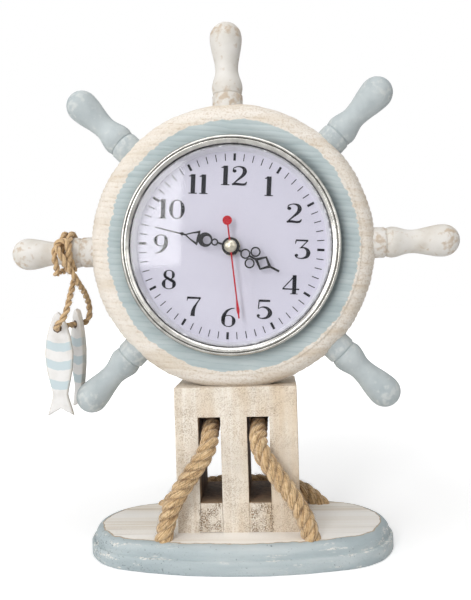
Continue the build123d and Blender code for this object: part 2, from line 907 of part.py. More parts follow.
# Movement case: a square shell open at the back, with a battery bay below and pins for the train
half_inside = battery_length / 2 + contact_room
half_case = half_inside + case_wall
case_size = 2 * half_case
divider_top = -half_inside + bay_height + divider_wall
with BuildPart() as movement_case:
    with BuildSketch(face_plane(inner_back)):
        RectangleRounded(case_size, case_size, case_corner)
    extrude(amount=inner_back - case_front)
    with BuildSketch(face_plane(inner_back)):
        with Locations((0, (half_inside + divider_top) / 2)):
            Rectangle(2 * half_inside, half_inside - divider_top)
        with Locations((0, bay_height / 2 - half_inside)):
            Rectangle(2 * half_inside, bay_height)
    extrude(amount=inner_back - inner_front, mode=Mode.SUBTRACT)
    with BuildSketch(face_plane(inner_front)):
        Circle(bushing_radius)
    extrude(amount=case_front_wall, mode=Mode.SUBTRACT)
    with BuildSketch(face_plane(third_front + gear_face)):
        with Locations(third_place):
            Circle(pin_radius)
    extrude(amount=third_front + gear_face - inner_front)
    with BuildSketch(face_plane(motion_front + gear_face)):
        with Locations(motion_place):
            Circle(pin_radius)
    extrude(amount=motion_front + gear_face - inner_front)
keep(movement_case, "movement_case")

# Movement back: the cover over the train, with the other pins, bearings and two stator posts
stator_front = magnet_front + (magnet_length - stator_thickness) / 2
stator_back = stator_front + stator_thickness
coil_centre = (rotor_place[0], rotor_place[1] + coil_height)
arm_off = coil_length / 2 + stator_arm_width / 2
with BuildPart() as movement_back:
    with BuildSketch(face_plane(case_back)):
        with Locations((0, (half_case + divider_top - divider_wall) / 2)):
            Rectangle(case_size, half_case - divider_top + divider_wall)
        Circle(arbor_radius + run_gap, mode=Mode.SUBTRACT)
        with Locations(setting_place):
            Circle(setting_arbor_radius + run_gap, mode=Mode.SUBTRACT)
    extrude(amount=cover_thickness)
    for place, pin_front in ((intermediate_place, seconds_front), (rotor_place, intermediate_front)):
        with BuildSketch(face_plane(inner_back)):
            with Locations(place):
                Circle(pin_radius)
        extrude(amount=inner_back - pin_front)
    with BuildSketch(face_plane(inner_back)):
        with Locations((rotor_place[0] - arm_off, rotor_place[1]), (rotor_place[0] + arm_off, rotor_place[1])):
            Circle(core_radius)
    extrude(amount=inner_back - stator_back)
keep(movement_back, "movement_back")

# Bushing, nut and washers that clamp the dial to the movement
with BuildPart() as bushing:
    with BuildSketch(face_plane(inner_front)):
        Circle(bushing_radius)
        Circle(hour_pipe_radius + run_gap, mode=Mode.SUBTRACT)
    extrude(amount=inner_front - bushing_front)
keep(bushing, "bushing")
with BuildPart() as fixing_washer:
    with BuildSketch(face_plane(dial_depth)):
        Circle(washer_radius)
        Circle(bushing_radius + fit_gap, mode=Mode.SUBTRACT)
    extrude(amount=washer_thickness)
keep(fixing_washer, "fixing_washer")
with BuildPart() as fixing_nut:
    with BuildSketch(face_plane(dial_depth - washer_thickness)):
        RegularPolygon(nut_flats / 2, 6, major_radius=False)
        Circle(bushing_radius + fit_gap, mode=Mode.SUBTRACT)
    extrude(amount=nut_thickness)
keep(fixing_nut, "fixing_nut")
with BuildPart() as dial_washer:
    with BuildSketch(face_plane(case_front)):
        Circle(dial_pad_radius)
        Circle(bushing_radius + fit_gap, mode=Mode.SUBTRACT)
    extrude(amount=dial_pad_thickness)
keep(dial_washer, "dial_washer")

# Stator: a soft-iron plate round the rotor with two arms that reach the coil's core
with BuildPart() as stator:
    with BuildSketch(face_plane(stator_back)):
        with Locations(rotor_place):
            Rectangle(2 * arm_off + stator_arm_width, 2 * stator_half_height)
        for side in (-1, 1):
            with Locations((rotor_place[0] + side * arm_off, rotor_place[1] + coil_height / 2)):
                Rectangle(stator_arm_width, coil_height + 2 * core_radius)
        with Locations(rotor_place):
            Circle(magnet_radius + stator_gap, mode=Mode.SUBTRACT)
    extrude(amount=stator_thickness)
keep(stator, "stator")

# Coil: a bobbin with two flanges and its winding, between the stator's arms
with BuildPart() as coil:
    coil_depth = stator_front + stator_thickness / 2
    coil_origin = face_plane(coil_depth).from_local_coords((coil_centre[0] - coil_length / 2, coil_centre[1], 0))
    with BuildSketch(Plane(origin=coil_origin, x_dir=(0, 0, 1), z_dir=(1, 0, 0))):
        Circle(coil_radius)
    extrude(amount=coil_length)
    with BuildSketch(Plane(origin=coil_origin + Vector(coil_flange, 0, 0), x_dir=(0, 0, 1), z_dir=(1, 0, 0))):
        Circle(coil_radius)
        Circle(coil_radius - coil_flange / 2, mode=Mode.SUBTRACT)
    extrude(amount=coil_length - 2 * coil_flange, mode=Mode.SUBTRACT)
keep(coil, "coil")

# Circuit board against the cover
with BuildPart() as circuit_board:
    with BuildSketch(face_plane(inner_back)):
        with Locations((board_margin - half_inside, half_inside - board_margin)):
            Rectangle(board_length, board_height, align=(Align.MIN, Align.MAX))
    extrude(amount=board_thickness)
keep(circuit_board, "circuit_board")

# Battery along the bay, and the two contacts at its ends
battery_depth = inner_front + battery_gap + battery_radius
battery_height = battery_radius + battery_gap - half_inside
battery_start = face_plane(battery_depth).from_local_coords((-battery_length / 2, battery_height, 0))
with BuildPart() as battery:
    with BuildSketch(Plane(origin=battery_start, x_dir=(0, 0, 1), z_dir=(1, 0, 0))):
        Circle(battery_radius)
    extrude(amount=battery_length)
    with BuildSketch(Plane(origin=battery_start + Vector(battery_length, 0, 0), x_dir=(0, 0, 1), z_dir=(1, 0, 0))):
        Circle(battery_nub_radius)
    extrude(amount=battery_nub_length)
keep(battery, "battery")
contact_sides = {
    "contact_positive": (1, battery_length / 2 + battery_nub_length),
    "contact_negative": (-1, battery_length / 2),
}
for contact_name, (side, battery_end) in contact_sides.items():
    wall = face_plane(battery_depth).from_local_coords((side * half_inside, battery_height, 0))
    with BuildPart() as contact:
        with BuildSketch(Plane(origin=wall, x_dir=(0, 0, 1), z_dir=(-side, 0, 0))):
            Rectangle(contact_width, contact_width)
        extrude(amount=contact_thickness)
        with BuildSketch(Plane(origin=wall, x_dir=(0, 0, 1), z_dir=(-side, 0, 0))):
            Circle(battery_nub_radius)
        extrude(amount=half_inside - battery_end - battery_gap)
    keep(contact, contact_name)

# Setting knob: a scalloped disc behind the cover on an arbor with the setting pinion
with BuildPart() as setting_knob:
    knob_front = case_back + knob_gap
    knob_back = knob_front + knob_disc_thickness
    with BuildSketch(face_plane(knob_back)):
        with Locations(setting_place):
            Circle(setting_arbor_radius)
    extrude(amount=knob_back - inner_front - face_gap)
    with BuildSketch(face_plane(motion_front + gear_face)):
        with Locations(setting_place):
            Polygon(*toothed(setting_teeth, motion_module, setting_turn), align=None)
    extrude(amount=gear_face)
    with BuildSketch(face_plane(knob_back)):
        with Locations(setting_place):
            Circle(knob_disc_radius)
        for scallop in range(knob_scallops):
            notch = polar(knob_disc_radius, 360 * scallop / knob_scallops)
            with Locations((setting_place[0] + notch[0], setting_place[1] + notch[1])):
                Circle(knob_scallop_radius, mode=Mode.SUBTRACT)
    extrude(amount=knob_disc_thickness)
keep(setting_knob, "setting_knob")


def hand_plane(back, turn):
    """The back face of a hand that points along its own x, turned clockwise from twelve."""
    pointing = (sin(radians(turn)), 0, cos(radians(turn)))
    return Plane(origin=(0, wheel_front + back, wheel_z), x_dir=pointing, z_dir=(0, -1, 0))


# Hour hand: hub, stem, one small ring, two side rings, an open diamond and a needle
with BuildPart() as hour_hand:
    with BuildSketch(hand_plane(hour_hand_back, hour_hand_turn)):
        Circle(hour_hub_radius)
        with Locations((hour_hand_length / 2, 0)):
            Rectangle(hour_hand_length, 2 * needle_half)
        with Locations((hour_ring_place, 0)):
            Circle(hour_ring_radius)
        with Locations((side_ring_place, side_ring_off), (side_ring_place, -side_ring_off)):
            Circle(side_ring_radius)
        Polygon(
            (diamond_start, 0),
            (diamond_widest, diamond_half),
            (diamond_end, 0),
            (diamond_widest, -diamond_half),
            align=None,
        )
        with Locations((hour_ring_place, 0)):
            Circle(hour_ring_radius - hand_line, mode=Mode.SUBTRACT)
        with Locations((side_ring_place, side_ring_off), (side_ring_place, -side_ring_off)):
            Circle(side_ring_radius - hand_line, mode=Mode.SUBTRACT)
        Polygon(
            (diamond_start + 3 * hand_line, 0),
            (diamond_widest, diamond_half - 1.5 * hand_line),
            (diamond_end - 3 * hand_line, 0),
            (diamond_widest, 1.5 * hand_line - diamond_half),
            align=None,
            mode=Mode.SUBTRACT,
        )
        Circle(hour_pipe_radius, mode=Mode.SUBTRACT)
    extrude(amount=hand_thickness)
keep(hour_hand, "hour_hand")

# Minute hand: hub, stem, a small ring, a larger ring with a dark crescent, an open tulip and a needle
with BuildPart() as minute_hand:
    tulip = [
        (large_ring_place + large_ring_radius - hand_line, 0),
        (tulip_barb_place, tulip_half),
        (tulip_neck_place, tulip_neck_half),
        (tulip_end, 0),
        (tulip_neck_place, -tulip_neck_half),
        (tulip_barb_place, -tulip_half),
    ]
    tulip_inside = [
        (tulip[0][0] + 2 * hand_line, 0),
        (tulip_barb_place + hand_line, tulip_half - 2 * hand_line),
        (tulip_neck_place, tulip_neck_half - hand_line),
        (tulip_end - 2 * hand_line, 0),
        (tulip_neck_place, hand_line - tulip_neck_half),
        (tulip_barb_place + hand_line, 2 * hand_line - tulip_half),
    ]
    with BuildSketch(hand_plane(minute_hand_back, minute_hand_turn)):
        Circle(minute_hub_radius)
        Polygon(
            (0, -needle_half),
            (minute_hand_length, -needle_half / 2),
            (minute_hand_length, needle_half / 2),
            (0, needle_half),
            align=None,
        )
        with Locations((minute_ring_place, 0)):
            Circle(minute_ring_radius)
        with Locations((large_ring_place, 0)):
            Circle(large_ring_radius)
        with Locations((tulip_end + bead_radius, 0)):
            Circle(bead_radius)
        Polygon(*tulip, align=None)
        with Locations((minute_ring_place, 0)):
            Circle(minute_ring_radius - hand_line, mode=Mode.SUBTRACT)
        with Locations((large_ring_place - crescent_shift / 2, 0)):
            Circle(large_ring_radius - hand_line - crescent_shift / 2, mode=Mode.SUBTRACT)
        Polygon(*tulip_inside, align=None, mode=Mode.SUBTRACT)
        Circle(minute_pipe_radius, mode=Mode.SUBTRACT)
    extrude(amount=hand_thickness)
keep(minute_hand, "minute_hand")

# Second hand with its round counterweight, and the domed cap over it
with BuildPart() as second_hand:
    with BuildSketch(hand_plane(second_hand_back, second_hand_turn)):
        with Locations(((second_hand_length - counterweight_reach) / 2, 0)):
            Rectangle(second_hand_length + counterweight_reach, second_hand_width)
        Polygon(
            (second_arrow_start, 0),
            (second_arrow_widest, second_arrow_half),
            (second_hand_length, 0),
            (second_arrow_widest, -second_arrow_half),
            align=None,
        )
        with Locations((-counterweight_reach, 0)):
            Circle(counterweight_radius)
        Circle(minute_pipe_radius)
        Circle(arbor_radius, mode=Mode.SUBTRACT)
    extrude(amount=second_thickness)
keep(second_hand, "second_hand")
with BuildPart() as second_hand_cap:
    with BuildSketch(section_plane()):
        with BuildLine():
            cap_arc = dome_arc(cap_radius, second_hand_front, cap_rise)
            ThreePointArc(*cap_arc)
            Polyline(cap_arc[2], (0, second_hand_front), cap_arc[0])
        make_face()
    revolve(axis=clock_axis)
keep(second_hand_cap, "second_hand_cap")

# Ropes of the stand: one through both windows and round the centre post, one low behind the block
stand_rope_front, front_line = cord_tube(rope_front_route, rope_diameter, "stand_rope_front")
keep(stand_rope_front, "stand_rope_front")
stand_rope_back, back_line = cord_tube(rope_back_route, rope_diameter, "stand_rope_back")
keep(stand_rope_back, "stand_rope_back")

# Hitch: the twine's turns round the left handle, as corners of a winding that steps along it
hitch_radius = collar_radius + hitch_gap + twine_diameter / 2
hitch_corner_radius = hitch_radius / cos(pi / hitch_corners)
hitch_route = []
for corner in range(hitch_turns * hitch_corners + 1):
    around = radians(-90 + 360 / hitch_corners * (corner + 0.5))
    along = wheel_radius + hitch_reach + hitch_step * corner / hitch_corners
    hitch_route.append(
        (
            -along,
            wheel_y - hitch_corner_radius * cos(around),
            wheel_z + hitch_corner_radius * sin(around),
        )
    )
twine_hitch, hitch_line = cord_tube(hitch_route, twine_diameter, "twine_hitch")
keep(twine_hitch, "twine_hitch")

# Least gap between neighbouring turns of the hitch, measured on points along it
hitch_points = [hitch_line @ (step / 400) for step in range(401)]
half_turn = 400 // (2 * hitch_turns)
least = min(
    (first - second).length
    for place, first in enumerate(hitch_points)
    for second in hitch_points[place + half_turn :]
)
print("twine_hitch least gap to itself", round(least - twine_diameter, 2))

# Twine loop that hangs from the hitch and runs through both fish
twine_loop, loop_line = cord_tube(twine_loop_route, twine_diameter, "twine_loop")
keep(twine_loop, "twine_loop")

# Fish: flat wooden shapes that hang head up, each on a plane through its hole
fish_planes = {
    "fish_front": Plane(origin=fish_front_hole, x_dir=(1, 0, 0), z_dir=(0, -1, 0)),
    "fish_back": Plane(
        origin=fish_back_hole,
        x_dir=(cos(radians(fish_back_yaw)), sin(radians(fish_back_yaw)), 0),
        z_dir=(sin(radians(fish_back_yaw)), -cos(radians(fish_back_yaw)), 0),
    ),
}
for fish_name, fish_plane in fish_planes.items():
    head = fish_length * fish_hole_share
    mouth = (0, head)
    widest = head - fish_length * fish_widest_share
    waist = head - fish_length * fish_waist_share
    tail = head - fish_length
    notch_end = (0, head - fish_length * fish_notch_share)
    with BuildPart() as fish:
        with BuildSketch(fish_plane.offset(-fish_thickness / 2)):
            with BuildLine():
                Spline(mouth, (fish_half_width, widest), (fish_waist_half, waist))
                Polyline(
                    (fish_waist_half, waist),
                    (fish_tail_half, tail),
                    notch_end,
                    (-fish_tail_half, tail),
                    (-fish_waist_half, waist),
                )
                Spline((-fish_waist_half, waist), (-fish_half_width, widest), mouth)
            make_face()
            Circle(fish_hole_radius, mode=Mode.SUBTRACT)
        extrude(amount=fish_thickness)
    keep(fish, fish_name)
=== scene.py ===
import math

import bmesh
import bpy
import numpy as np
from mathutils import Matrix


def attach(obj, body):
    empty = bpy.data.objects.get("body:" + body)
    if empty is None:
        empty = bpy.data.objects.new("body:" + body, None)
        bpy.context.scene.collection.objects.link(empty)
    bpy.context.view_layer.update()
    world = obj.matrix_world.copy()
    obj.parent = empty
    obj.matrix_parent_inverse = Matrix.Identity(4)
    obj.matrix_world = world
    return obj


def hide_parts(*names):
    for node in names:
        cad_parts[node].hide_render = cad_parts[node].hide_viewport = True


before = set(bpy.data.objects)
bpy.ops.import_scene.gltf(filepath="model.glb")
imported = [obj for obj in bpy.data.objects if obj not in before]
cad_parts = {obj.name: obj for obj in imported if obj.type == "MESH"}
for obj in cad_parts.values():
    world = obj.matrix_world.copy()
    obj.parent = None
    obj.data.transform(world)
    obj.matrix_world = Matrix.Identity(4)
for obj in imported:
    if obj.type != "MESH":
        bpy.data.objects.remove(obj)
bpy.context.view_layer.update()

# Camera: it stands a little right of the clock, near the height of its centre,
# and leans slightly, as the photograph does.
# Its lens gives the photograph's field on a frame 600 pixels high.
camera_place = (0.02023, -0.33041, 0.12714)
yaw, pitch, roll = (math.radians(angle) for angle in (3.411, 0.984, -1.74))
focal_pixels, frame_pixels, sensor_height = 670.86, 600.0, 36.0


def standing(place, right, up, back):
    """The matrix of a thing at place, whose own three axes point right, up and back."""
    return Matrix.Translation(place) @ Matrix(list(zip(right, up, back))).to_4x4()


forward = np.array(
    [-math.sin(yaw) * math.cos(pitch), math.cos(yaw) * math.cos(pitch), -math.sin(pitch)]
)
level = np.array([math.cos(yaw), math.sin(yaw), 0.0])
upright = np.cross(level, forward)
lens_right = math.cos(roll) * level + math.sin(roll) * upright
lens_up = math.cos(roll) * upright - math.sin(roll) * level
view = bpy.data.cameras.new("view")
view.sensor_fit = "VERTICAL"
view.sensor_height = sensor_height
view.lens = focal_pixels * sensor_height / frame_pixels
view.clip_start = 0.01
camera = bpy.data.objects.new("view", view)
camera.matrix_world = standing(camera_place, lens_right, lens_up, -forward)
bpy.context.scene.collection.objects.link(camera)
bpy.context.scene.camera = camera
bpy.context.scene.view_settings.view_transform = "Standard"

# Room: a pale studio, brighter above than below, which the camera, glass and metal see as white.
# Four soft boxes stand in it: the key in front on the left, where the glass mirrors it,
# one far left that throws the bezel's shadow, a weak one on the right and one above.
sky_strength, ground_grey, sky_white = 0.27, (0.42, 0.42, 0.43), 1.0
clock_middle, clock_foot = (0, 0, 0.13), (0, 0, 0.1)


def node(owner, kind, sockets, **settings):
    """A new node in the owner's tree: each socket gets a value, or another node's output."""
    made = owner.node_tree.nodes.new("ShaderNode" + kind)
    for name, value in settings.items():
        setattr(made, name, value)
    for name, value in sockets.items():
        if isinstance(value, bpy.types.NodeSocket):
            owner.node_tree.links.new(value, made.inputs[name])
        else:
            made.inputs[name].default_value = value
    return made


def maths(owner, operation, *values):
    """One step of arithmetic on outputs or numbers, as an output."""
    return node(owner, "Math", dict(enumerate(values)), operation=operation).outputs[0]


def ramp(owner, value, *stops):
    """A colour for each value, blended between (position, colour) stops. One number is a grey."""
    made = node(owner, "ValToRGB", {0: value})
    elements = made.color_ramp.elements
    while len(elements) < len(stops):
        elements.new(0.5)
    for element, (position, colour) in zip(elements, stops):
        element.position = position
        element.color = (*colour, 1) if isinstance(colour, tuple) else (colour, colour, colour, 1)
    return made.outputs["Color"]


room = bpy.data.worlds.new("room")
room.use_nodes = True
bpy.context.scene.world = room
sky = room.node_tree.nodes["Background"]
sky.inputs["Strength"].default_value = sky_strength
skyward = node(room, "TexCoord", {}).outputs["Generated"]
skyward = node(room, "SeparateXYZ", {0: skyward}).outputs["Z"]
sky_tone = ramp(room, skyward, (0.35, ground_grey), (0.75, sky_white))
room.node_tree.links.new(sky_tone, sky.inputs["Color"])
white = node(room, "Background", {"Color": (1, 1, 1, 1)})
ray = node(room, "LightPath", {}).outputs
seen = maths(room, "MAXIMUM", ray["Is Camera Ray"], ray["Is Transmission Ray"])
seen = maths(room, "MAXIMUM", seen, ray["Is Glossy Ray"])
shown = node(room, "MixShader", {0: seen, 1: sky.outputs[0], 2: white.outputs[0]})
room.node_tree.links.new(shown.outputs[0], room.node_tree.nodes["World Output"].inputs["Surface"])


def unit(vectors):
    """Each vector divided by its own length."""
    return vectors / np.linalg.norm(vectors, axis=-1, keepdims=True)


def soft_box(name, place, aim, size, power):
    """An area light of this size at place. Its back points away from aim, its side is level."""
    light = bpy.data.lights.new(name, "AREA")
    light.shape = "RECTANGLE"
    light.size, light.size_y = size
    light.energy = power
    back = unit(np.subtract(place, aim))
    side = unit(np.cross((0.0, 0.0, 1.0), back))
    lamp = bpy.data.objects.new(name, light)
    lamp.matrix_world = standing(place, side, np.cross(back, side), back)
    bpy.context.scene.collection.objects.link(lamp)


soft_box("key", (-0.46, -1.18, 0.56), clock_middle, (0.30, 0.90), 8.4)
soft_box("side", (-1.05, -0.55, 0.45), clock_middle, (0.5, 0.8), 3.6)
soft_box("fill", (1.1, -0.9, 0.6), clock_middle, (0.8, 0.8), 2.0)
soft_box("top", (0.1, -0.25, 1.3), clock_foot, (1.2, 1.0), 7.6)

# Floor: a pale sheet that the clock stands on, not part of it.
# It is matte card, large enough to fill the view from any side,
# and it fades to white away from the clock.
floor_reach, floor_tones = 3, ((0.92, 0.92, 0.92), (0.95, 0.95, 0.95))
fade_start, fade_end, glow_near, glow_far = 0.10, 0.70, 0.30, 0.95


def material(name, roughness, metallic=0.0):
    """A new node material, with this roughness and share of metal on its main shader."""
    made = bpy.data.materials.new(name)
    made.use_nodes = True
    shader(made)["Roughness"].default_value = roughness
    shader(made)["Metallic"].default_value = metallic
    return made


def shader(finish):
    """The sockets of a finish's main shader."""
    return finish.node_tree.nodes["Principled BSDF"].inputs


def coat(finish, colour):
    """Gives a finish this output as its colour."""
    finish.node_tree.links.new(colour, shader(finish)["Base Color"])


def own_place(finish):
    """The place of a point in the object's own metres."""
    return node(finish, "TexCoord", {}).outputs["Object"]


def noise(finish, scale, stretch=(1, 1, 1), detail=4.0, turn=(0, 0, 0)):
    """Noise from 0 to 1: scale counts waves per metre, times stretch on each axis, then turned."""
    mapped = {"Vector": own_place(finish), "Scale": stretch, "Rotation": turn}
    mapped = node(finish, "Mapping", mapped).outputs[0]
    sockets = {"Vector": mapped, "Scale": scale, "Detail": detail}
    return node(finish, "TexNoise", sockets).outputs["Fac"]


def two_tone(finish, scale, tones, stretch=(1, 1, 1), detail=3.0, high=0.7):
    """Colours a finish with two tones that drift into each other on noise, and returns the noise."""
    drift = noise(finish, scale, stretch, detail)
    coat(finish, ramp(finish, drift, (0.3, tones[0]), (high, tones[1])))
    return drift


def rise(finish, value, start, end, low=0.0, high=1.0, shape="LINEAR"):
    """Goes from low to high while value goes from start to end, and stays level past them."""
    sockets = {"Value": value, "From Min": start, "From Max": end, "To Min": low, "To Max": high}
    return node(finish, "MapRange", sockets, interpolation_type=shape).outputs[0]


def sewn(name, points, faces, finish, values=None, smooth=True):
    """A mesh of points and four-cornered faces. values are numbers for each point, by name."""
    mesh = bpy.data.meshes.new(name)
    mesh.from_pydata(points.reshape(-1, 3).tolist(), [], faces.reshape(-1, 4).tolist())
    mesh.polygons.foreach_set("use_smooth", np.full(len(mesh.polygons), smooth))
    for value_name, value in (values or {}).items():
        layer = mesh.attributes.new(value_name, "FLOAT", "POINT")
        whole = np.broadcast_to(value, points.shape[:-1]).astype(np.float32)
        layer.data.foreach_set("value", whole.ravel())
    mesh.materials.append(finish)
    return mesh


card = material("floor_card", 0.9)
two_tone(card, 3.0, floor_tones, detail=4.0)
far = node(card, "VectorMath", {0: own_place(card)}, operation="LENGTH").outputs["Value"]
glow = rise(card, far, fade_start, fade_end, glow_near, glow_far, "SMOOTHSTEP")
glow = maths(card, "MULTIPLY", glow, node(card, "LightPath", {}).outputs["Is Camera Ray"])
shader(card)["Emission Color"].default_value = (1, 1, 1, 1)
card.node_tree.links.new(glow, shader(card)["Emission Strength"])
sheet = np.array([(-1, -1, 0), (1, -1, 0), (1, 1, 0), (-1, 1, 0)]) * floor_reach
floor = bpy.data.objects.new("floor", sewn("floor", sheet, np.arange(4), card, smooth=False))
bpy.context.scene.collection.objects.link(floor)

# Base plinth: two boards of soft wood, routed with a step and a rounded upper edge.
# The top is limewashed along its grain, the edges are brushed with blue paint
# and rubbed through to bare wood where the two meet.
base_length, base_depth, end_radius = 0.148, 0.076, 0.032
slab, base_height, step, round_off = 0.0069, 0.0126, 0.0018, 0.0044
base_blues = (0.32, (0.35, 0.41, 0.43)), (0.52, (0.42, 0.48, 0.495)), (0.70, (0.53, 0.575, 0.58))
base_limes = (0.33, (0.72, 0.63, 0.51)), (0.45, (0.89, 0.85, 0.785)), (0.62, (0.94, 0.915, 0.875))
rubbed_white, pit_dark = (0.74, 0.72, 0.67), (0.16, 0.19, 0.20)
grain_line, bare_edge = (0.50, 0.44, 0.37), (0.46, 0.33, 0.20)


def waves(position, pitch, seed):
    """A smooth uneven line between -1 and 1: three sine waves of unlike pitch added up."""
    angle = 2 * math.pi * position / pitch
    slow, quick = 0.5 * np.sin(angle + seed), 0.3 * np.sin(2.3 * angle + 2.1 * seed)
    return slow + quick + 0.2 * np.sin(4.7 * angle + 3.7 * seed)


def plus(finish, first, second):
    """The sum of two outputs or numbers."""
    return maths(finish, "ADD", first, second)


def times(finish, first, second):
    """The product of two outputs or numbers."""
    return maths(finish, "MULTIPLY", first, second)


def mix(finish, factor, first, second):
    """Two colours mixed by a factor output. Either colour may be an output or three numbers."""
    sockets = {"Factor": factor}
    for number, colour in ((6, first), (7, second)):
        sockets[number] = (*colour, 1) if isinstance(colour, tuple) else colour
    return node(finish, "Mix", sockets, data_type="RGBA").outputs[2]


def axes(finish):
    """The object's own X, Y and Z in metres, as outputs by name."""
    return node(finish, "SeparateXYZ", {0: own_place(finish)}).outputs


def attribute(finish, name):
    """A number stored on the mesh's points, as an output."""
    return node(finish, "Attribute", {}, attribute_name=name).outputs["Fac"]


def ragged(finish, value, scale, detail, amount):
    """A value made uneven: noise less a half, times amount, is added to it."""
    wander = maths(finish, "SUBTRACT", noise(finish, scale, detail=detail), 0.5)
    return plus(finish, value, times(finish, wander, amount))


def bumped(finish, value, depth, strength=1.0):
    """Relief of this depth in metres, from a height output between 0 and 1."""
    sockets = {"Height": value, "Distance": depth, "Strength": strength}
    made = node(finish, "Bump", sockets)
    finish.node_tree.links.new(made.outputs[0], shader(finish)["Normal"])


def ring_faces(rows, columns):
    """The faces between neighbours on a grid of points whose columns join round."""
    number = np.arange(rows * columns).reshape(rows, columns)
    after = np.roll(number, -1, axis=1)
    return np.stack([number[:-1], after[:-1], after[1:], number[1:]], -1)


def fitted(name, mesh, body, stands_for=()):
    """The mesh as a piece that rides on a body and stands for CAD nodes."""
    piece = bpy.data.objects.new(name, mesh)
    bpy.context.scene.collection.objects.link(piece)
    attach(piece, body)
    if stands_for:
        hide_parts(*stands_for)
    return piece


def surface(name, points, finish, stands_for, body="stand", values=None, sharp=None):
    """A piece on a grid of points, joined round by its columns, with equal points merged.
    Edges that turn by more than sharp degrees stay crisp."""
    mesh = sewn(name, points, ring_faces(*points.shape[:2]), finish, values)
    whole = bmesh.new()
    whole.from_mesh(mesh)
    bmesh.ops.remove_doubles(whole, verts=whole.verts, dist=1e-7)
    bmesh.ops.recalc_face_normals(whole, faces=whole.faces)
    whole.to_mesh(mesh)
    whole.free()
    if sharp:
        mesh.set_sharp_from_angle(angle=math.radians(sharp))
    return fitted(name, mesh, body, [stands_for])


# The outline is an oval of four arcs, and the profile is (inset from the outline, height).
# Each outline point is an arc's hub plus its radius less the inset, at an even walk along the arcs.
side_radius = (base_length / 2 - end_radius) ** 2 + (base_depth / 2) ** 2 - end_radius**2
side_radius = side_radius / (base_depth - 2 * end_radius)
quarter = np.linspace(0, math.pi / 2, 12)
shoulder_top = base_height - round_off * (1 - np.sin(quarter))
shoulder = [step + round_off * (1 - np.cos(quarter)), shoulder_top]
profile = np.concatenate(
    [
        [(0.010, 0), (0.0008, 0), (0.0003, 0.0002), (0, 0.0007), (0, 0.003), (0, slab - 0.0008)],
        [(0.0003, slab - 0.0003), (0.0009, slab - 0.0001)],
        [(step - 0.0003, slab - 0.0002), (step, slab + 0.0003)],
        np.stack(shoulder, -1),
        [(step + round_off + inset, base_height) for inset in (0.0006, 0.0015, 0.004, 0.010)],
    ]
)
inset, height = profile[:, :1], profile[:, 1:]
facing = np.linspace(0, 2 * math.pi, 4001)
side_share = (side_radius - base_depth / 2) / (side_radius - end_radius)
walked = np.cumsum(np.where(np.abs(np.sin(facing)) > side_share, side_radius, end_radius))
walk = np.linspace(walked[0], walked[-1], 720, endpoint=False)
outward = np.interp(walk, walked, facing)
walk = walk * facing[1]
round_x, round_y = np.cos(outward), np.sin(outward)
on_side = np.abs(round_y) > side_share
hub_x = np.where(on_side, 0, (base_length / 2 - end_radius) * np.sign(round_x))
hub_y = np.where(on_side, (base_depth / 2 - side_radius) * np.sign(round_y), 0)
arc = np.where(on_side, side_radius, end_radius) - inset
arc = arc + 0.00018 * waves(walk, 0.043, 2.0) * (inset < 0.006)
base_grid = [hub_x + arc * round_x, hub_y + arc * round_y, np.broadcast_to(height, arc.shape)]
base_grid = np.stack(base_grid, -1)
shrink = np.array([[0, 0, 1], [0.3, 0.3, 1], [0.7, 0.7, 1]])[:, None]
base_grid = np.concatenate([base_grid[:1] * shrink, base_grid, base_grid[-1:] * shrink[::-1]])
closed = ((len(shrink), len(shrink)), (0, 0))
wear = np.pad(inset + 0.0006 * waves(walk, 0.031, 1.0) - (step + round_off), closed, "edge")
crest = np.exp(-(((inset - 0.0005) / 0.0007) ** 2 + ((height - slab) / 0.0009) ** 2))
crest = np.pad(crest * np.clip(0.55 + 0.9 * waves(walk, 0.052, 3.0), 0, 1), closed, "edge")

paint = material("base_paint", 0.74)
across = axes(paint)["X"]
far_out = rise(paint, maths(paint, "ABSOLUTE", across), 0.030, 0.070)
far_left = rise(paint, across, -0.012, -0.040)
blue = ramp(paint, noise(paint, 60, (0.25, 1, 2.5), 6.0), *base_blues)
patch = plus(paint, noise(paint, 210, (0.25, 1, 2.4), 9.0), times(paint, far_out, 0.075))
patch = plus(paint, patch, times(paint, attribute(paint, "crest"), 0.16))
crumbs = ramp(paint, noise(paint, 1300, (0.5, 1, 1), 4.0), (0.44, 0), (0.56, 0.85))
bald = times(paint, ramp(paint, patch, (0.61, 0), (0.70, 1)), crumbs)
blue = mix(paint, bald, blue, rubbed_white)
pits = plus(paint, noise(paint, 850, (1, 1, 1.3), 4.0), times(paint, far_left, 0.075))
pits = plus(paint, pits, times(paint, noise(paint, 60, detail=2.0), 0.16))
blue = mix(paint, ramp(paint, pits, (0.755, 0), (0.80, 0.7)), blue, pit_dark)
grain = noise(paint, 44, (0.10, 3.6, 1), 8.0)
lines = ramp(paint, noise(paint, 75, (0.05, 6.0, 1), 4.0), (0.33, 0.6), (0.43, 0))
limewash = ramp(paint, grain, *base_limes)
limewash = mix(paint, times(paint, lines, far_out), limewash, grain_line)
edge = ragged(paint, attribute(paint, "wear"), 260, 5.0, 0.0022)
edge = maths(paint, "MULTIPLY_ADD", edge, 400.0, 0.5)
blue = mix(paint, ramp(paint, edge, (0.20, 0), (0.30, 0.85)), blue, bare_edge)
coat(paint, mix(paint, ramp(paint, edge, (0.44, 0), (0.56, 1)), blue, limewash))
bumped(paint, maths(paint, "SUBTRACT", times(paint, grain, 0.6), times(paint, pits, 0.6)), 0.0005)
base_values = {"wear": wear, "crest": crest}
surface("base", base_grid, paint, "base_plinth", values=base_values, sharp=50)

# Wood screws: zinc-plated steel, driven up into the posts, with heads let into the underside.
# Only their heads show, when the clock is turned over.
zinc_tones = (0.50, 0.50, 0.50), (0.68, 0.68, 0.67)


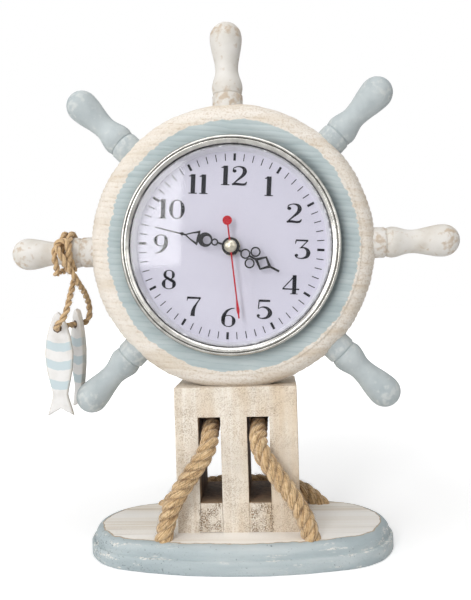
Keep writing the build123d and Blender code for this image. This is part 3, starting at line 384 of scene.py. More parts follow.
def dress(finish, *names):
    """Gives CAD nodes this finish in place of their own."""
    for name in names:
        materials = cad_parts[name].data.materials
        materials.clear()
        materials.append(finish)


zinc = material("zinc_steel", 0.35, 1.0)
two_tone(zinc, 900, zinc_tones)
dress(zinc, "base_screws")

# Stand block: three upright posts with short spacers glued between them, sawn from soft wood.
# The outside is limewashed and speckled with open pores, most of all on the spacers' end grain,
# and the window sides are left bare and dark, with painted light that makes them lighter towards the
# front.
posts = ["post_left", "post_centre", "post_right"]
posts += [f"spacer_{row}_{side}" for row in ("upper", "lower") for side in ("left", "right")]
block_limes = (0.22, (0.70, 0.61, 0.49)), (0.45, (0.82, 0.745, 0.64)), (0.75, (0.88, 0.83, 0.745))
bare_woods = (0.3, (0.11, 0.062, 0.035)), (0.7, (0.27, 0.165, 0.095))
smear_tan, pore_tan, end_grain = (0.67, 0.51, 0.335), (0.47, 0.325, 0.185), (0.34, 0.22, 0.12)
bare_front_painted_light = (0.42, 0.30, 0.19)
block_inside, window_top, window_middle, window_half = 0.0282, 0.076, 0.0468, 0.0202
centre_post_x, spacer_x, spacer_half = -0.0011, 0.0124, 0.0052
soft_edge, weld_gap = 0.0005, 0.00001


def dots(finish, scale, size):
    """Round spots, 1 inside and 0 outside: scale counts cells per metre, size is a spot's share."""
    cells = node(finish, "TexVoronoi", {"Vector": own_place(finish), "Scale": scale})
    return rise(finish, cells.outputs["Distance"], size, 0.6 * size)


def away(finish, value, middle=0.0):
    """How far a value is from the middle."""
    return maths(finish, "ABSOLUTE", maths(finish, "SUBTRACT", value, middle))


limed = material("stand_lime", 0.72)
here = axes(limed)
fibre = noise(limed, 70, (7.0, 7.0, 0.16), 6.0)
smear = plus(limed, noise(limed, 40, (2.2, 2.2, 0.4), 6.0), times(limed, here["X"], 4.5))
limewash = ramp(limed, fibre, *block_limes)
limewash = mix(limed, ramp(limed, smear, (0.50, 0), (0.70, 0.6)), limewash, smear_tan)
open_wood = ramp(limed, noise(limed, 60, detail=3.0), (0.38, 0.12), (0.62, 0.52))
pores = times(limed, dots(limed, 1500, 0.45), open_wood)
limewash = mix(limed, pores, limewash, pore_tan)
normal = node(limed, "NewGeometry", {}).outputs["Normal"]
normal = node(limed, "SeparateXYZ", {0: normal}).outputs
inner = maths(limed, "LESS_THAN", away(limed, normal["Y"]), 0.5)
inner = times(limed, inner, maths(limed, "LESS_THAN", away(limed, here["X"]), block_inside))
inner = times(limed, inner, maths(limed, "LESS_THAN", here["Z"], window_top))
ends = maths(limed, "GREATER_THAN", away(limed, here["Z"], window_middle), window_half)
low = rise(limed, here["Z"], 0.036, 0.024)
on_spacer = away(limed, away(limed, here["X"], centre_post_x), spacer_x)
on_spacer = maths(limed, "LESS_THAN", on_spacer, spacer_half)
deep = maths(limed, "MULTIPLY_ADD", times(limed, low, on_spacer), 0.95, 0.5)
fleck = ramp(limed, noise(limed, 1500, detail=7.0), (0.47, 0), (0.60, 0.85))
patchy = ramp(limed, noise(limed, 260, detail=3.0), (0.36, 0.15), (0.62, 1))
fleck = times(limed, times(limed, fleck, patchy), deep)
limewash = mix(limed, ends, limewash, mix(limed, fleck, limewash, end_grain))
bare = ramp(limed, fibre, *bare_woods)
# Painted light: the bare window sides turn lighter towards the block's front.
bare = mix(limed, rise(limed, here["Y"], -0.006, -0.0185), bare, bare_front_painted_light)
coat(limed, mix(limed, inner, limewash, bare))
bumped(limed, maths(limed, "SUBTRACT", times(limed, fibre, 0.5), plus(limed, fleck, pores)), 0.0003)
dress(limed, *posts)
for name in posts:
    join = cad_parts[name].modifiers.new("join", "WELD")
    join.merge_threshold = weld_gap
    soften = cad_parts[name].modifiers.new("soften", "BEVEL")
    soften.width = soft_edge
    soften.segments = 2
    soften.limit_method = "ANGLE"
    soften.angle_limit = math.radians(40)

# Stand ropes: three-strand jute, one threaded through both windows and round the centre post,
# one laid low behind the block, with their ends glued into holes in the base.
# Each rope is three round strands that wind about its line, right-handed.
rope_make, rope_thick = (3, 0.00212, 0.00222, 0.0150), 0.0088
rope_hair, hairs_above = (1900, 0.0056, 3), 0.0145
strand_sides, steps_in_lay, strand_swell, swell_turn = 20, 28, 0.04, 900
fibre_turn, fibre_stretch, strand_shift = 2.4, 0.5, 7
hair_steps, hair_half, hair_spacing, hair_root = 6, 0.00006, 0.0006, 0.9
rope_tones = (0.38, (0.30, 0.165, 0.072)), (0.51, (0.66, 0.435, 0.215)), (0.68, (0.90, 0.69, 0.42))
# The crease stops and dark colour are painted shade between the rope's strands.
rope_crease_shade, rope_shade_colour = ((0.55, 0.9), (0.93, 0)), (0.13, 0.065, 0.025)
# The routes are millimetres right, behind and up from the middle of the base's underside.
front_route = [
    (-35.6, -26.0, 5.6), (-33.6, -26.0, 18.5), (-28.8, -25.8, 31.0), (-20.6, -25.2, 42.6),
    (-12.4, -23.2, 53.4), (-12.6, -12.2, 60.6), (-12.6, 2.0, 61.9), (-12.6, 12.0, 61.5),
    (-12.5, 20.0, 60.8), (-9.2, 27.0, 60.3), (-1.1, 30.0, 60.0), (7.0, 27.0, 60.3),
    (10.3, 20.0, 60.8), (10.4, 12.0, 61.5), (10.4, 2.0, 61.9), (10.4, -12.2, 60.6),
    (10.2, -23.2, 53.4), (17.4, -25.2, 42.6), (26.2, -25.8, 31.0), (32.6, -26.0, 18.5),
    (34.6, -26.0, 5.6),
]
back_route = [
    (-47.0, 24.8, 5.6), (-35.3, 25.0, 18.6), (-23.6, 25.2, 21.8), (-8.5, 25.3, 23.8),
    (8.5, 25.3, 23.8), (23.6, 25.2, 21.8), (35.3, 25.0, 18.6), (47.0, 24.8, 5.6),
]


def jute(name, yarn, fluff, tones, crease_shade, dark, depth):
    """Jute fibre: noise along the strand and noise in space, each times its share, add up to a tone.
    yarn is (scale, detail, share), fluff is (scale, share), and the crease stops darken the cord
    towards its axis: painted shade in the creases between the strands."""
    finish = material(name, 0.9)
    shader(finish)["Sheen Weight"].default_value = 0.3
    strand = {axis: attribute(finish, "fibre_" + axis.lower()) for axis in "XYZ"}
    strand = node(finish, "CombineXYZ", strand).outputs[0]
    sockets = {"Vector": strand, "Scale": yarn[0], "Detail": yarn[1]}
    yarns = times(finish, node(finish, "TexNoise", sockets).outputs["Fac"], yarn[2])
    tone = plus(finish, yarns, times(finish, noise(finish, fluff[0], detail=6.0), fluff[1]))
    # Painted shade: the cord darkens towards its axis, in the creases between the strands.
    crease_shading = ramp(finish, attribute(finish, "out"), *crease_shade)
    coat(finish, mix(finish, crease_shading, ramp(finish, tone, *tones), dark))
    bumped(finish, tone, depth)
    return finish


def smooth_line(name, route):
    """Points in metres along a smooth line whose control points are the route's, in millimetres."""
    curve = bpy.data.curves.new(name + "_line", "CURVE")
    curve.dimensions = "3D"
    curve.resolution_u = 24
    spline = curve.splines.new("NURBS")
    spline.points.add(len(route) - 1)
    controls = np.hstack([np.array(route) / 1000, np.ones((len(route), 1))])
    spline.points.foreach_set("co", controls.ravel())
    spline.order_u = 3
    spline.use_endpoint_u = True
    holder = bpy.data.objects.new(name + "_line", curve)
    mesh = bpy.data.meshes.new_from_object(holder)
    points = np.empty(len(mesh.vertices) * 3)
    mesh.vertices.foreach_get("co", points)
    bpy.data.objects.remove(holder)
    bpy.data.meshes.remove(mesh)
    return points.reshape(-1, 3)


def even(points, spacing):
    """The same line with its points an equal distance apart, and how far each is from the start."""
    travelled = np.cumsum(np.linalg.norm(np.diff(points, axis=0), axis=1))
    travelled = np.concatenate([[0], travelled])
    marks = np.linspace(0, travelled[-1], max(int(travelled[-1] / spacing), 8))
    spaced = [np.interp(marks, travelled, points[:, axis]) for axis in range(3)]
    return np.stack(spaced, -1), marks


def side_ways(points):
    """Two directions square to the line at each point. The first is carried from point to point,
    less its part along the line, so that it doesn't twist."""
    along = unit(np.gradient(points, axis=0))
    first = np.zeros_like(points)
    first[0] = unit(np.cross(along[0], (0.31, 0.2, 0.93)))
    for place in range(1, len(points)):
        carried = first[place - 1] - along[place] * (first[place - 1] @ along[place])
        first[place] = unit(carried)
    return first, np.cross(along, first)


def laid_cord(name, points, make, finish, body, stands_for=()):
    """A cord laid from strands: each is a tube whose middle circles the line once every lay.
    make is (strands, distance of a strand's middle from the line, its radius, lay)."""
    strands, spread, thick, lay = make
    points, marks = even(points, lay / steps_in_lay)
    first, second = side_ways(points)
    around = np.linspace(0, 2 * math.pi, strand_sides, endpoint=False)
    grids, fibres = [], []
    for strand in range(strands):
        angle = 2 * math.pi * (marks / lay + strand / strands)[:, None]
        core = points + spread * (first * np.cos(angle) + second * np.sin(angle))
        one, other = side_ways(core)
        ring = one[:, None] * np.cos(around)[:, None] + other[:, None] * np.sin(around)[:, None]
        swell = thick * (1 + strand_swell * np.sin(3 * around + marks[:, None] * swell_turn))
        tube = core[:, None] + ring * swell[..., None]
        caps = np.broadcast_to(tube[[0, -1]].mean(1, keepdims=True), (2, strand_sides, 3))
        grids += [caps[:1], tube, caps[1:]]
        wound = around + marks[:, None] * fibre_turn / lay
        lengthwise = marks[:, None] / lay * fibre_stretch + strand_shift * strand + 0 * wound
        out = np.linalg.norm(tube - points[:, None], axis=-1) / (spread + thick)
        values = [np.cos(wound), np.sin(wound), lengthwise, out]
        fibres.append(np.pad(values, ((0, 0), (1, 1), (0, 0)), "edge"))
    whole = np.concatenate(grids)
    rows = len(whole) // strands
    within = np.arange(len(whole) - 1) % rows != rows - 1
    faces = ring_faces(*whole.shape[:2])[within]
    values = dict(zip(("fibre_x", "fibre_y", "fibre_z", "out"), np.concatenate(fibres, axis=1)))
    mesh = sewn(name, whole, faces, finish, values)
    return fitted(name, mesh, body, stands_for), points, marks[-1]


def strip_faces(number):
    """The faces along rows of numbered point pairs."""
    near, far = number[:-1], number[1:]
    return np.stack([near[..., 0], near[..., 1], far[..., 1], far[..., 0]], -1)


def loose_hairs(name, points, thick, hair, finish, body):
    """Fine fibres that stand off a cord: ribbons that leave its surface at a slant and curl back.
    Along a fibre the height is lift times share times (1 less half the share).
    hair is (how many, longest in metres, seed)."""
    count, longest, seed = hair
    chance = np.random.default_rng(seed)
    points = even(points, hair_spacing)[0]
    first, second = side_ways(points)
    along = unit(np.gradient(points, axis=0))
    spot = chance.integers(4, len(points) - 4, count)
    angle = chance.uniform(0, 2 * math.pi, count)[:, None]
    outward = first[spot] * np.cos(angle) + second[spot] * np.sin(angle)
    around = second[spot] * np.cos(angle) - first[spot] * np.sin(angle)
    slant = along[spot] * chance.choice([-1.0, 1.0], count)[:, None]
    slant = unit(slant + around * chance.normal(0, 0.5, count)[:, None])
    size = chance.uniform(0.3, 1.0, count)[:, None] * longest
    lift = chance.uniform(0.15, 0.55, count)[:, None]
    share = np.linspace(0, 1, hair_steps)[:, None, None]
    curl = slant * share + outward * lift * share * (1 - 0.5 * share)
    middle = points[spot] + outward * thick * hair_root + size * curl
    width = np.cross(slant, outward) * hair_half * (1.15 - share)
    grid = np.stack([middle - width, middle + width], 2)
    faces = strip_faces(np.arange(grid.size // 3).reshape(hair_steps, count, 2))
    return fitted(name, sewn(name, grid, faces, finish, smooth=False), body)


rope_jute = jute(
    "jute_rope", (5.5, 6.0, 0.75), (700, 0.30), rope_tones, rope_crease_shade, rope_shade_colour, 0.0013
)
for name, stands_for, route in (
    ("rope_front", "stand_rope_front", front_route),
    ("rope_back", "stand_rope_back", back_route),
):
    rope, line, rope_long = laid_cord(
        name, smooth_line(name, route), rope_make, rope_jute, "stand", [stands_for]
    )
    hairy = line[line[:, 2] > hairs_above]
    fuzz = loose_hairs(
        name + "_fuzz", hairy, rope_thick / 2, rope_hair, rope_jute, "stand"
    )

# Wheel dowel: a bare beech pin between the stand and the rim, hidden in its holes.
# It is turned wood and glued at both ends.
beech_tones, beech_grain = ((0.45, 0.30, 0.16), (0.66, 0.48, 0.29)), (4, 4, 0.3)
beech = material("dowel_wood", 0.6)
two_tone(beech, 120, beech_tones, beech_grain, 5.0)
dress(beech, "wheel_dowel")

# Wheel rim: a thick disc of soft wood, turned with a rounded edge and brushed into level ridges.
# The flat face is painted blue by hand, so its border wavers. Round the bezel it is darkened: dirt
# in the joint all round, and a painted shadow of the bezel, heaviest on the right.
# The rounded edge and the back are limewashed over bare wood, and stained most on the right.
centre_y, centre_z, front_y = -0.006, 0.147, -0.018
bore, face, outer, thick, lip = 0.0487, 0.0608, 0.0684, 0.024, 0.0007
ridge_tilt, ridge_pitch, edge_ridge, face_ridge = math.radians(-7), 0.0026, 0.00042, 0.00030
bezel_foot, dirt_and_shadow_reach, shadow_turn = 0.0518, 0.0028, math.radians(5)
rim_blues = (0.25, (0.35, 0.42, 0.43)), (0.5, (0.435, 0.50, 0.505)), (0.8, (0.53, 0.585, 0.585))
rim_limes = (0.26, (0.64, 0.56, 0.455)), (0.42, (0.725, 0.665, 0.585)), (0.7, (0.78, 0.73, 0.665))
valley_blue, bezel_dirt_and_shadow = (0.31, 0.39, 0.41), (0.075, 0.095, 0.10)
streak_tan, groove_tan, speck_tan = (0.58, 0.46, 0.325), (0.50, 0.385, 0.265), (0.50, 0.385, 0.27)


def turned(radius, depth, turn):
    """A profile carried round the clock's axis: a point is its radius out at each angle of turn,
    and its depth behind the plane of the rim's face."""
    radius, depth, turn = np.broadcast_arrays(radius, depth, turn)
    return np.stack([radius * np.cos(turn), front_y + depth, centre_z + radius * np.sin(turn)], -1)


# The section is (radius, depth): the face from the bore out, the half-oval edge, the back, the bore.
bulge = np.linspace(-math.pi / 2, math.pi / 2, 44)
bulge = [face + (outer - face) * np.cos(bulge), thick / 2 + (thick / 2 - lip) * np.sin(bulge)]
section = np.concatenate(
    [
        np.stack([np.linspace(bore, face - 0.0004, 30), np.zeros(30)], -1),
        [(face - 0.0001, 0.0001), (face, 0.0004)],
        np.stack(bulge, -1),
        [(face, thick - 0.0004), (face - 0.0003, thick)],
        np.stack([np.linspace(face - 0.001, bore, 8), np.full(8, thick)], -1),
        [(bore, thick * 0.6), (bore, thick * 0.3), (bore, 0.0)],
    ]
)
radius, behind = section[:, :1], section[:, 1:]
turn = np.linspace(0, 2 * math.pi, 900, endpoint=False)
rightward, upward = radius * np.cos(turn), radius * np.sin(turn)
grain_across = upward * math.cos(ridge_tilt) - rightward * math.sin(ridge_tilt)
grain_along = rightward * math.cos(ridge_tilt) + upward * math.sin(ridge_tilt)
ridge_line = 0.0005 * waves(grain_along, 0.06, 1.0) + 0.0006 * waves(grain_across, 0.021, 0.6)
ridges = np.abs(np.sin(math.pi * (grain_across + ridge_line) / ridge_pitch)) ** 0.7
ridged = np.clip((radius - bore) / 0.002, 0, 1) * (behind < thick - 0.0005)
edge_on = np.clip((radius - face) / (outer - face), 0, 1)
sink = (ridges - 1.0) * ridged
grow = edge_ridge * sink * np.abs(np.cos(turn)) ** 0.8 + 0.00025 * waves(turn, 0.7, 1.7)
lower = -face_ridge * sink * (1 - edge_on)
wander = 0.0008 * np.cos(turn) + 0.0005 * waves(turn, 0.62, 0.4) + 0.0003 * waves(turn, 0.21, 2.2)
border = face - 0.0021 + wander + 0.0008 * (ridges - 0.6) * np.abs(np.cos(turn)) ** 1.5
past_border = np.where(behind > 0.004, 0.004, radius - border)
# Darkening round the bezel: a little dirt in the joint all round, and a painted shadow of the bezel
# that is strongest towards the right.
dirt_and_shadow = np.exp(-((np.maximum(radius - bezel_foot, 0) / dirt_and_shadow_reach) ** 2)) * (behind < 0.002)
dirt_and_shadow = dirt_and_shadow * (0.25 + 0.75 * np.clip(np.cos(turn - shadow_turn), 0, 1))

brushed = material("rim_paint", 0.72)
tilted = (0, ridge_tilt, 0)
grain = noise(brushed, 42, (0.22, 1, 4.2), 8.0, tilted)
strokes = noise(brushed, 110, (0.4, 1, 1.6), 6.0, tilted)
ridge = attribute(brushed, "ridge")
blue = ramp(brushed, strokes, *rim_blues)
blue = mix(brushed, ramp(brushed, ridge, (0.12, 0.55), (0.55, 0)), blue, valley_blue)
# Painted shadow of the bezel, with dirt in the joint, darkens the blue face next to it.
blue = mix(brushed, times(brushed, attribute(brushed, "dirt_and_shadow"), 0.88), blue, bezel_dirt_and_shadow)
limewash = ramp(brushed, grain, *rim_limes)
stained = rise(brushed, axes(brushed)["X"], -0.070, 0.010, 0.30)
streaks = noise(brushed, 60, (0.3, 1, 3.4), 7.0, tilted)
streaks = times(brushed, ramp(brushed, streaks, (0.52, 0), (0.68, 0.46)), stained)
limewash = mix(brushed, streaks, limewash, streak_tan)
dashes = ramp(brushed, noise(brushed, 330, detail=4.0), (0.48, 0), (0.62, 0.8))
dashes = times(brushed, ramp(brushed, ridge, (0.15, 0.9), (0.60, 0)), dashes)
limewash = mix(brushed, dashes, limewash, groove_tan)
specks = ramp(brushed, noise(brushed, 1100, detail=3.0), (0.50, 0), (0.66, 0.50))
limewash = mix(brushed, times(brushed, specks, stained), limewash, speck_tan)
edge = ragged(brushed, attribute(brushed, "paint"), 300, 6.0, 0.0012)
edge = maths(brushed, "MULTIPLY_ADD", edge, 500.0, 0.5)
coat(brushed, mix(brushed, ramp(brushed, edge, (0.42, 0), (0.58, 1)), blue, limewash))
bumped(brushed, plus(brushed, strokes, times(brushed, grain, 1.5)), 0.0004)
rim_values = {"paint": past_border, "ridge": np.where(ridged > 0, ridges, 1.0), "dirt_and_shadow": dirt_and_shadow}
rim_grid = turned(radius + grow * edge_on, behind + lower, turn)
surface("rim", rim_grid, brushed, "wheel_rim", values=rim_values, sharp=60)

# Handles: seven turned spokes of soft wood, glued into the rim by their tenons.
# Three are white and four blue, in matte paint that is rubbed and stained
# round the collar, the groove and the end.
flange, groove, collar, neck, knob = 0.0073, 0.0066, 0.0074, 0.00555, 0.0077
handle_reach, handle_seat, groove_place, neck_place = 0.0397, -0.0024, 0.0050, 0.0167
worn_foot, worn_end = 0.002, 0.034
# Each look is its light, middle and dark paint, and the stain where it is rubbed.
handle_looks = {
    "white": ((0.74, 0.715, 0.68), (0.66, 0.63, 0.58), (0.57, 0.52, 0.455), (0.43, 0.30, 0.175)),
    "blue": ((0.50, 0.545, 0.55), (0.42, 0.465, 0.475), (0.345, 0.395, 0.41), (0.60, 0.62, 0.60)),
}


def eased(start, end, count):
    """Points of a profile between two (distance, radius) ends: the radius follows a smooth step."""
    share = np.linspace(0, 1, count)
    radius = start[1] + (end[1] - start[1]) * (3 - 2 * share) * share**2
    return np.stack([start[0] + (end[0] - start[0]) * share, radius], -1)


knob_end = np.linspace(0, math.pi / 2, 16)
knob_radius = knob * np.append(np.cos(knob_end[:-1]), 0)
knob_end = [handle_reach - knob + knob * np.sin(knob_end), knob_radius]
spindle = np.concatenate(
    [
        [(handle_seat, 0.0), (handle_seat, flange - 0.0002), (handle_seat + 0.0006, flange)],
        [(0.002, flange), (0.0040, flange), (0.0044, flange - 0.0002), (0.0048, groove + 0.0001)],
        [(groove_place, groove), (0.0053, groove + 0.0002)],
        eased((0.0055, groove + 0.0004), (0.0078, collar), 8),
        eased((0.0080, collar), (neck_place, neck), 18)[1:],
        eased((neck_place, neck), (handle_reach - knob, knob), 24)[1:],
        np.stack(knob_end, -1)[1:],
    ]
)
out_along = spindle[:, :1]
worn = np.exp(-(((out_along - worn_foot) / 0.005) ** 2))
worn = worn + 0.9 * np.exp(-(((out_along - worn_end) / 0.004) ** 2))
dirt = np.exp(-(((out_along - groove_place) / 0.0004) ** 2))
handle_paint = {}
for look, (light, middle, dark, stain) in handle_looks.items():
    handle_paint[look] = matte = material("handle_" + look, 0.72)
    strokes = noise(matte, 95, detail=7.0)
    rubbed = plus(matte, noise(matte, 420, detail=7.0), times(matte, attribute(matte, "worn"), 0.17))
    colour = ramp(matte, strokes, (0.25, dark), (0.45, middle), (0.7, light))
    colour = mix(matte, ramp(matte, rubbed, (0.60, 0), (0.76, 0.62)), colour, stain)
    soiled = ramp(matte, attribute(matte, "dirt"), (0.2, 0), (1.0, 0.6))
    coat(matte, mix(matte, soiled, colour, dark))
    bumped(matte, strokes, 0.0004)
around = np.linspace(0, 2 * math.pi, 56, endpoint=False)
for number, (name, angle, look) in enumerate(
    (
        ("top", 90, "white"),
        ("upper_right", 45, "blue"),
        ("right", 0, "white"),
        ("lower_right", -45, "blue"),
        ("lower_left", -135, "blue"),
        ("left", 180, "white"),
        ("upper_left", 135, "blue"),
    )
):
    spoke_out = np.array([math.cos(math.radians(angle)), 0, math.sin(math.radians(angle))])
    spoke_side = np.cross(spoke_out, (0, 1, 0))
    uneven = 1 + 0.010 * waves(out_along, 0.03, number + 1.0) * (out_along > 0.008)
    wide = spindle[:, 1:] * uneven
    grid = np.array([0, centre_y, centre_z]) + spoke_out * (outer + out_along[..., None])
    grid = grid + spoke_side * (wide * np.cos(around))[..., None]
    grid = grid + np.array([0, 1, 0]) * (wide * np.sin(around))[..., None]
    surface(
        "spoke_" + name,
        grid,
        handle_paint[look],
        "handle_" + name,
        values={"worn": worn, "dirt": dirt},
        sharp=45,
    )

# Twine: two-ply jute, wound twice round the left handle and knotted,
# with a loop that hangs below and runs through the heads of both fish.
# The hitch stays on the handle, and the loop swings.
twine_make, twine_thick, twine_hair = (2, 0.00070, 0.00085, 0.0085), 0.003, (900, 0.0026, 5)
twine_tones = (0.34, (0.33, 0.20, 0.09)), (0.52, (0.60, 0.405, 0.21)), (0.72, (0.78, 0.59, 0.36))
# The crease stops and dark colour are painted shade between the twine's plies.
twine_crease_shade, twine_shade_colour = ((0.50, 0.55), (0.80, 0)), (0.20, 0.11, 0.045)
# The hitch's controls stand on the corners of an octagon round its coil. All routes are millimetres.
coil_radius, coil_step, coil_start, corners = 9.0, 3.3, 68.4 + 8.4, 8
corner = np.arange(2 * corners + 1)
corner_angle = np.radians(-90 + 360 / corners * (corner + 0.5))
corner_out = coil_radius / math.cos(math.pi / corners)
hitch_route = [-(coil_start + coil_step * corner / corners), -6 - corner_out * np.cos(corner_angle)]
hitch_route = np.stack([*hitch_route, 147 + corner_out * np.sin(corner_angle)], -1)
loop_route = [
    (-76.4, -13.8, 136.7), (-75.2, -9.8, 132.2), (-74.9, -0.5, 127.8), (-75.0, 6.4, 122.8),
    (-75.3, 9.8, 118.6), (-75.8, 10.2, 114.4), (-77.87, 8.14, 111.4), (-83.33, 2.86, 111.4),
    (-84.9, -7.5, 110.5), (-84.9, -15.9, 110.5), (-83.1, -18.9, 112.6), (-79.4, -18.6, 116.4),
    (-78.7, -15.4, 121.4), (-78.7, -9.8, 127.8), (-78.6, -5.6, 132.4), (-78.6, -4.0, 134.3),
]
bight_route = [
    (-85.2, -11.6, 136.2), (-83.6, -14.8, 139.0), (-83.8, -17.6, 143.4), (-83.6, -18.1, 148.0),
    (-81.8, -17.2, 151.9), (-79.0, -16.8, 152.6), (-77.0, -17.5, 149.8), (-76.9, -17.9, 146.2),
    (-77.6, -16.6, 142.4),
]
tail_route = [
    (-82.0, -18.8, 149.2), (-80.8, -20.4, 147.0), (-79.0, -19.9, 143.6), (-77.4, -17.1, 139.5),
    (-76.4, -13.8, 136.7), (-75.9, -12.1, 134.8),
]
twine = jute(
    "jute_twine", (3.0, 5.0, 0.65), (900, 0.40), twine_tones, twine_crease_shade, twine_shade_colour, 0.0004
)
for name, route, knot_route, body, hang in (
    ("hitch", hitch_route, bight_route, "stand", "coiled"),
    ("loop", loop_route, tail_route, "charm", "hanging"),
):
    cord, line, cord_long = laid_cord(
        name, smooth_line(name, route), twine_make, twine, body, ["twine_" + name]
    )
    knot_line = smooth_line(name + "_knot", knot_route)
    knot = laid_cord(name + "_knot", knot_line, twine_make, twine, body)[0]
    fuzz = loose_hairs(name + "_fuzz", line, twine_thick / 2, twine_hair, twine, body)

# Fish: two flat shapes sawn from thin board, painted white with wavy blue bands.
# The real fish have a hole through each head for the twine; here it is not cut, but painted as a
# dark ring of painted shade.
# They hang head up, one facing forward and one turned nearly edge on.
fish_long, fish_thick, nose_above, fish_hole = 0.0505, 0.003, 0.0081, 0.0019
band_places, band_half = (-0.0075, -0.0165, -0.0258), 0.0027
band_sag, band_tilt, fish_half = 0.0017, 0.0007, 0.0065
fish_whites = (0.25, (0.65, 0.63, 0.60)), (0.5, (0.75, 0.735, 0.715)), (0.8, (0.80, 0.79, 0.775))
band_blue, rubbed_edge, painted_hole_shade = (0.50, 0.60, 0.63), (0.62, 0.56, 0.47), (0.10, 0.06, 0.035)
near_hole, far_hole = (-0.0849, -0.012, 0.1105), (-0.0806, 0.0055, 0.1114)
near_turn, far_turn = 0.0, math.radians(-46)
half_widths = {
    0: 0.0, 0.03: 0.0016, 0.08: 0.0031, 0.15: 0.0045, 0.25: 0.0059, 0.40: 0.0069, 0.55: 0.0063,
    0.68: 0.0049, 0.76: 0.0039, 0.80: 0.0036, 0.84: 0.0041, 0.92: 0.0053, 1.0: 0.0064,
}
share = np.linspace(0, 1, 90)[:, None]
half = np.interp(share, list(half_widths), list(half_widths.values()))
around = np.linspace(0, 2 * math.pi, 72, endpoint=False)
span = np.sign(np.cos(around)) * np.abs(np.cos(around)) ** 0.45
through = np.sign(np.sin(around)) * np.abs(np.sin(around)) ** 0.35
fork = 1 - 0.07 * (1 - np.abs(span)) * np.clip((share - 0.8) / 0.2, 0, 1)
thin = np.clip(share / 0.02, 0, 1) ** 0.5 * np.clip((1.0 - share) / 0.008, 0, 1) ** 0.5
flank, above_hole = half * span, nose_above - fish_long * share * fork
layer = fish_thick / 2 * through * thin
sag = band_sag * (1 - (flank / fish_half) ** 2) + band_tilt * flank / fish_half
bands = [np.exp(-(((above_hole - place + sag) / band_half) ** 2)) for place in band_places]
fish_values = {
    "band": np.max(bands, axis=0),
    "rim": np.abs(span),
    "hole": np.clip(1 - (np.hypot(flank, above_hole) - fish_hole) / 0.0006, 0, 1),
}
scales = material("fish_paint", 0.6)
strokes = noise(scales, 160, detail=6.0)
banded = ragged(scales, attribute(scales, "band"), 420, 4.0, 0.35)
banded = ramp(scales, banded, (0.50, 0), (0.62, 0.9))
colour = mix(scales, banded, ramp(scales, strokes, *fish_whites), band_blue)
worn_edge = ramp(scales, attribute(scales, "rim"), (0.82, 0), (1.0, 0.55))
colour = mix(scales, worn_edge, colour, rubbed_edge)
# Painted shade: a dark ring on the head stands in for the hole through it.
in_painted_hole = ramp(scales, attribute(scales, "hole"), (0.5, 0), (0.6, 1))
coat(scales, mix(scales, in_painted_hole, colour, painted_hole_shade))
bumped(scales, strokes, 0.0003)
for name, body, hole_place, fish_turn in (
    ("fish_near", "fish_front", near_hole, near_turn),
    ("fish_far", "fish_back", far_hole, far_turn),
):
    wide = np.array([math.cos(fish_turn), math.sin(fish_turn), 0.0])
    deep = np.array([-wide[1], wide[0], 0.0])
    grid = np.array(hole_place) + flank[..., None] * wide + layer[..., None] * deep
    grid = grid + above_hole[..., None] * np.array([0, 0, 1.0])
    surface(name, grid, scales, body, body=body, values=fish_values)

# Insert cup and grip band: a cup of black moulded plastic, pressed into the rim from the front,
# with a soft rubber band round it that holds it in the bore. Both show only from behind.
plastic_tones = (0.016, 0.016, 0.018), (0.032, 0.032, 0.034)
rubber_tones = (0.03, 0.03, 0.03), (0.055, 0.055, 0.055)
moulded = material("black_plastic", 0.45)
bumped(moulded, two_tone(moulded, 2600, plastic_tones, detail=2.0), 0.00008)
dress(moulded, "insert_cup")
rubber = material("soft_rubber", 0.8)
two_tone(rubber, 500, rubber_tones)
dress(rubber, "grip_band")

# Quartz movement: a moulded case and cover that hold clear plastic wheels on pins,
# an iron stator, a copper coil and a resin board. It hangs from the dial by its bushing and nut,
# on a rubber washer.
wheels = ["hour_wheel", "motion_wheel", "minute_pipe", "centre_wheel", "third_wheel"]
wheels += ["seconds_wheel", "intermediate_wheel", "rotor"]
wheel_tones = (0.74, 0.74, 0.70), (0.84, 0.84, 0.80)
iron_tones, rolled_grain = ((0.36, 0.36, 0.36), (0.54, 0.54, 0.53)), (4, 1, 0.3)
copper_tones, turns_scale = ((0.2, (0.38, 0.15, 0.06)), (0.8, (0.74, 0.36, 0.18))), 900.0
resin_tones = (0.03, 0.14, 0.07), (0.06, 0.22, 0.11)
dress(moulded, "movement_case", "movement_back", "setting_knob")
dress(rubber, "dial_washer")
clear_plastic = material("gear_plastic", 0.4)
two_tone(clear_plastic, 600, wheel_tones, detail=2.0)
dress(clear_plastic, *wheels)
iron = material("soft_iron", 0.4, 1.0)
two_tone(iron, 700, iron_tones, rolled_grain, 4.0)
dress(iron, "stator")
copper = material("copper_winding", 0.35, 1.0)
winding = {"Scale": turns_scale, "Vector": own_place(copper)}
winding = node(copper, "TexWave", winding, bands_direction="X").outputs["Fac"]
coat(copper, ramp(copper, winding, *copper_tones))
dress(copper, "coil")
resin = material("board", 0.5)
two_tone(resin, 900, resin_tones)
dress(resin, "circuit_board")

# Battery and contacts: one AA cell in a plain dark wrap with a copper-coloured end,
# held in the open bay between two sprung contacts of plated steel.
wrap_bands = (
    (0.25, (0.03, 0.03, 0.035)), (0.635, (0.04, 0.04, 0.045)), (0.645, (0.55, 0.33, 0.13)),
    (0.742, (0.58, 0.36, 0.15)), (0.747, (0.62, 0.62, 0.62)),
)
cell = material("battery_wrap", 0.35)
along_cell = maths(cell, "MULTIPLY_ADD", axes(cell)["X"], 10.0, 0.5)
coat(cell, ramp(cell, along_cell, *wrap_bands))
dress(cell, "battery")
dress(zinc, "contact_positive", "contact_negative")

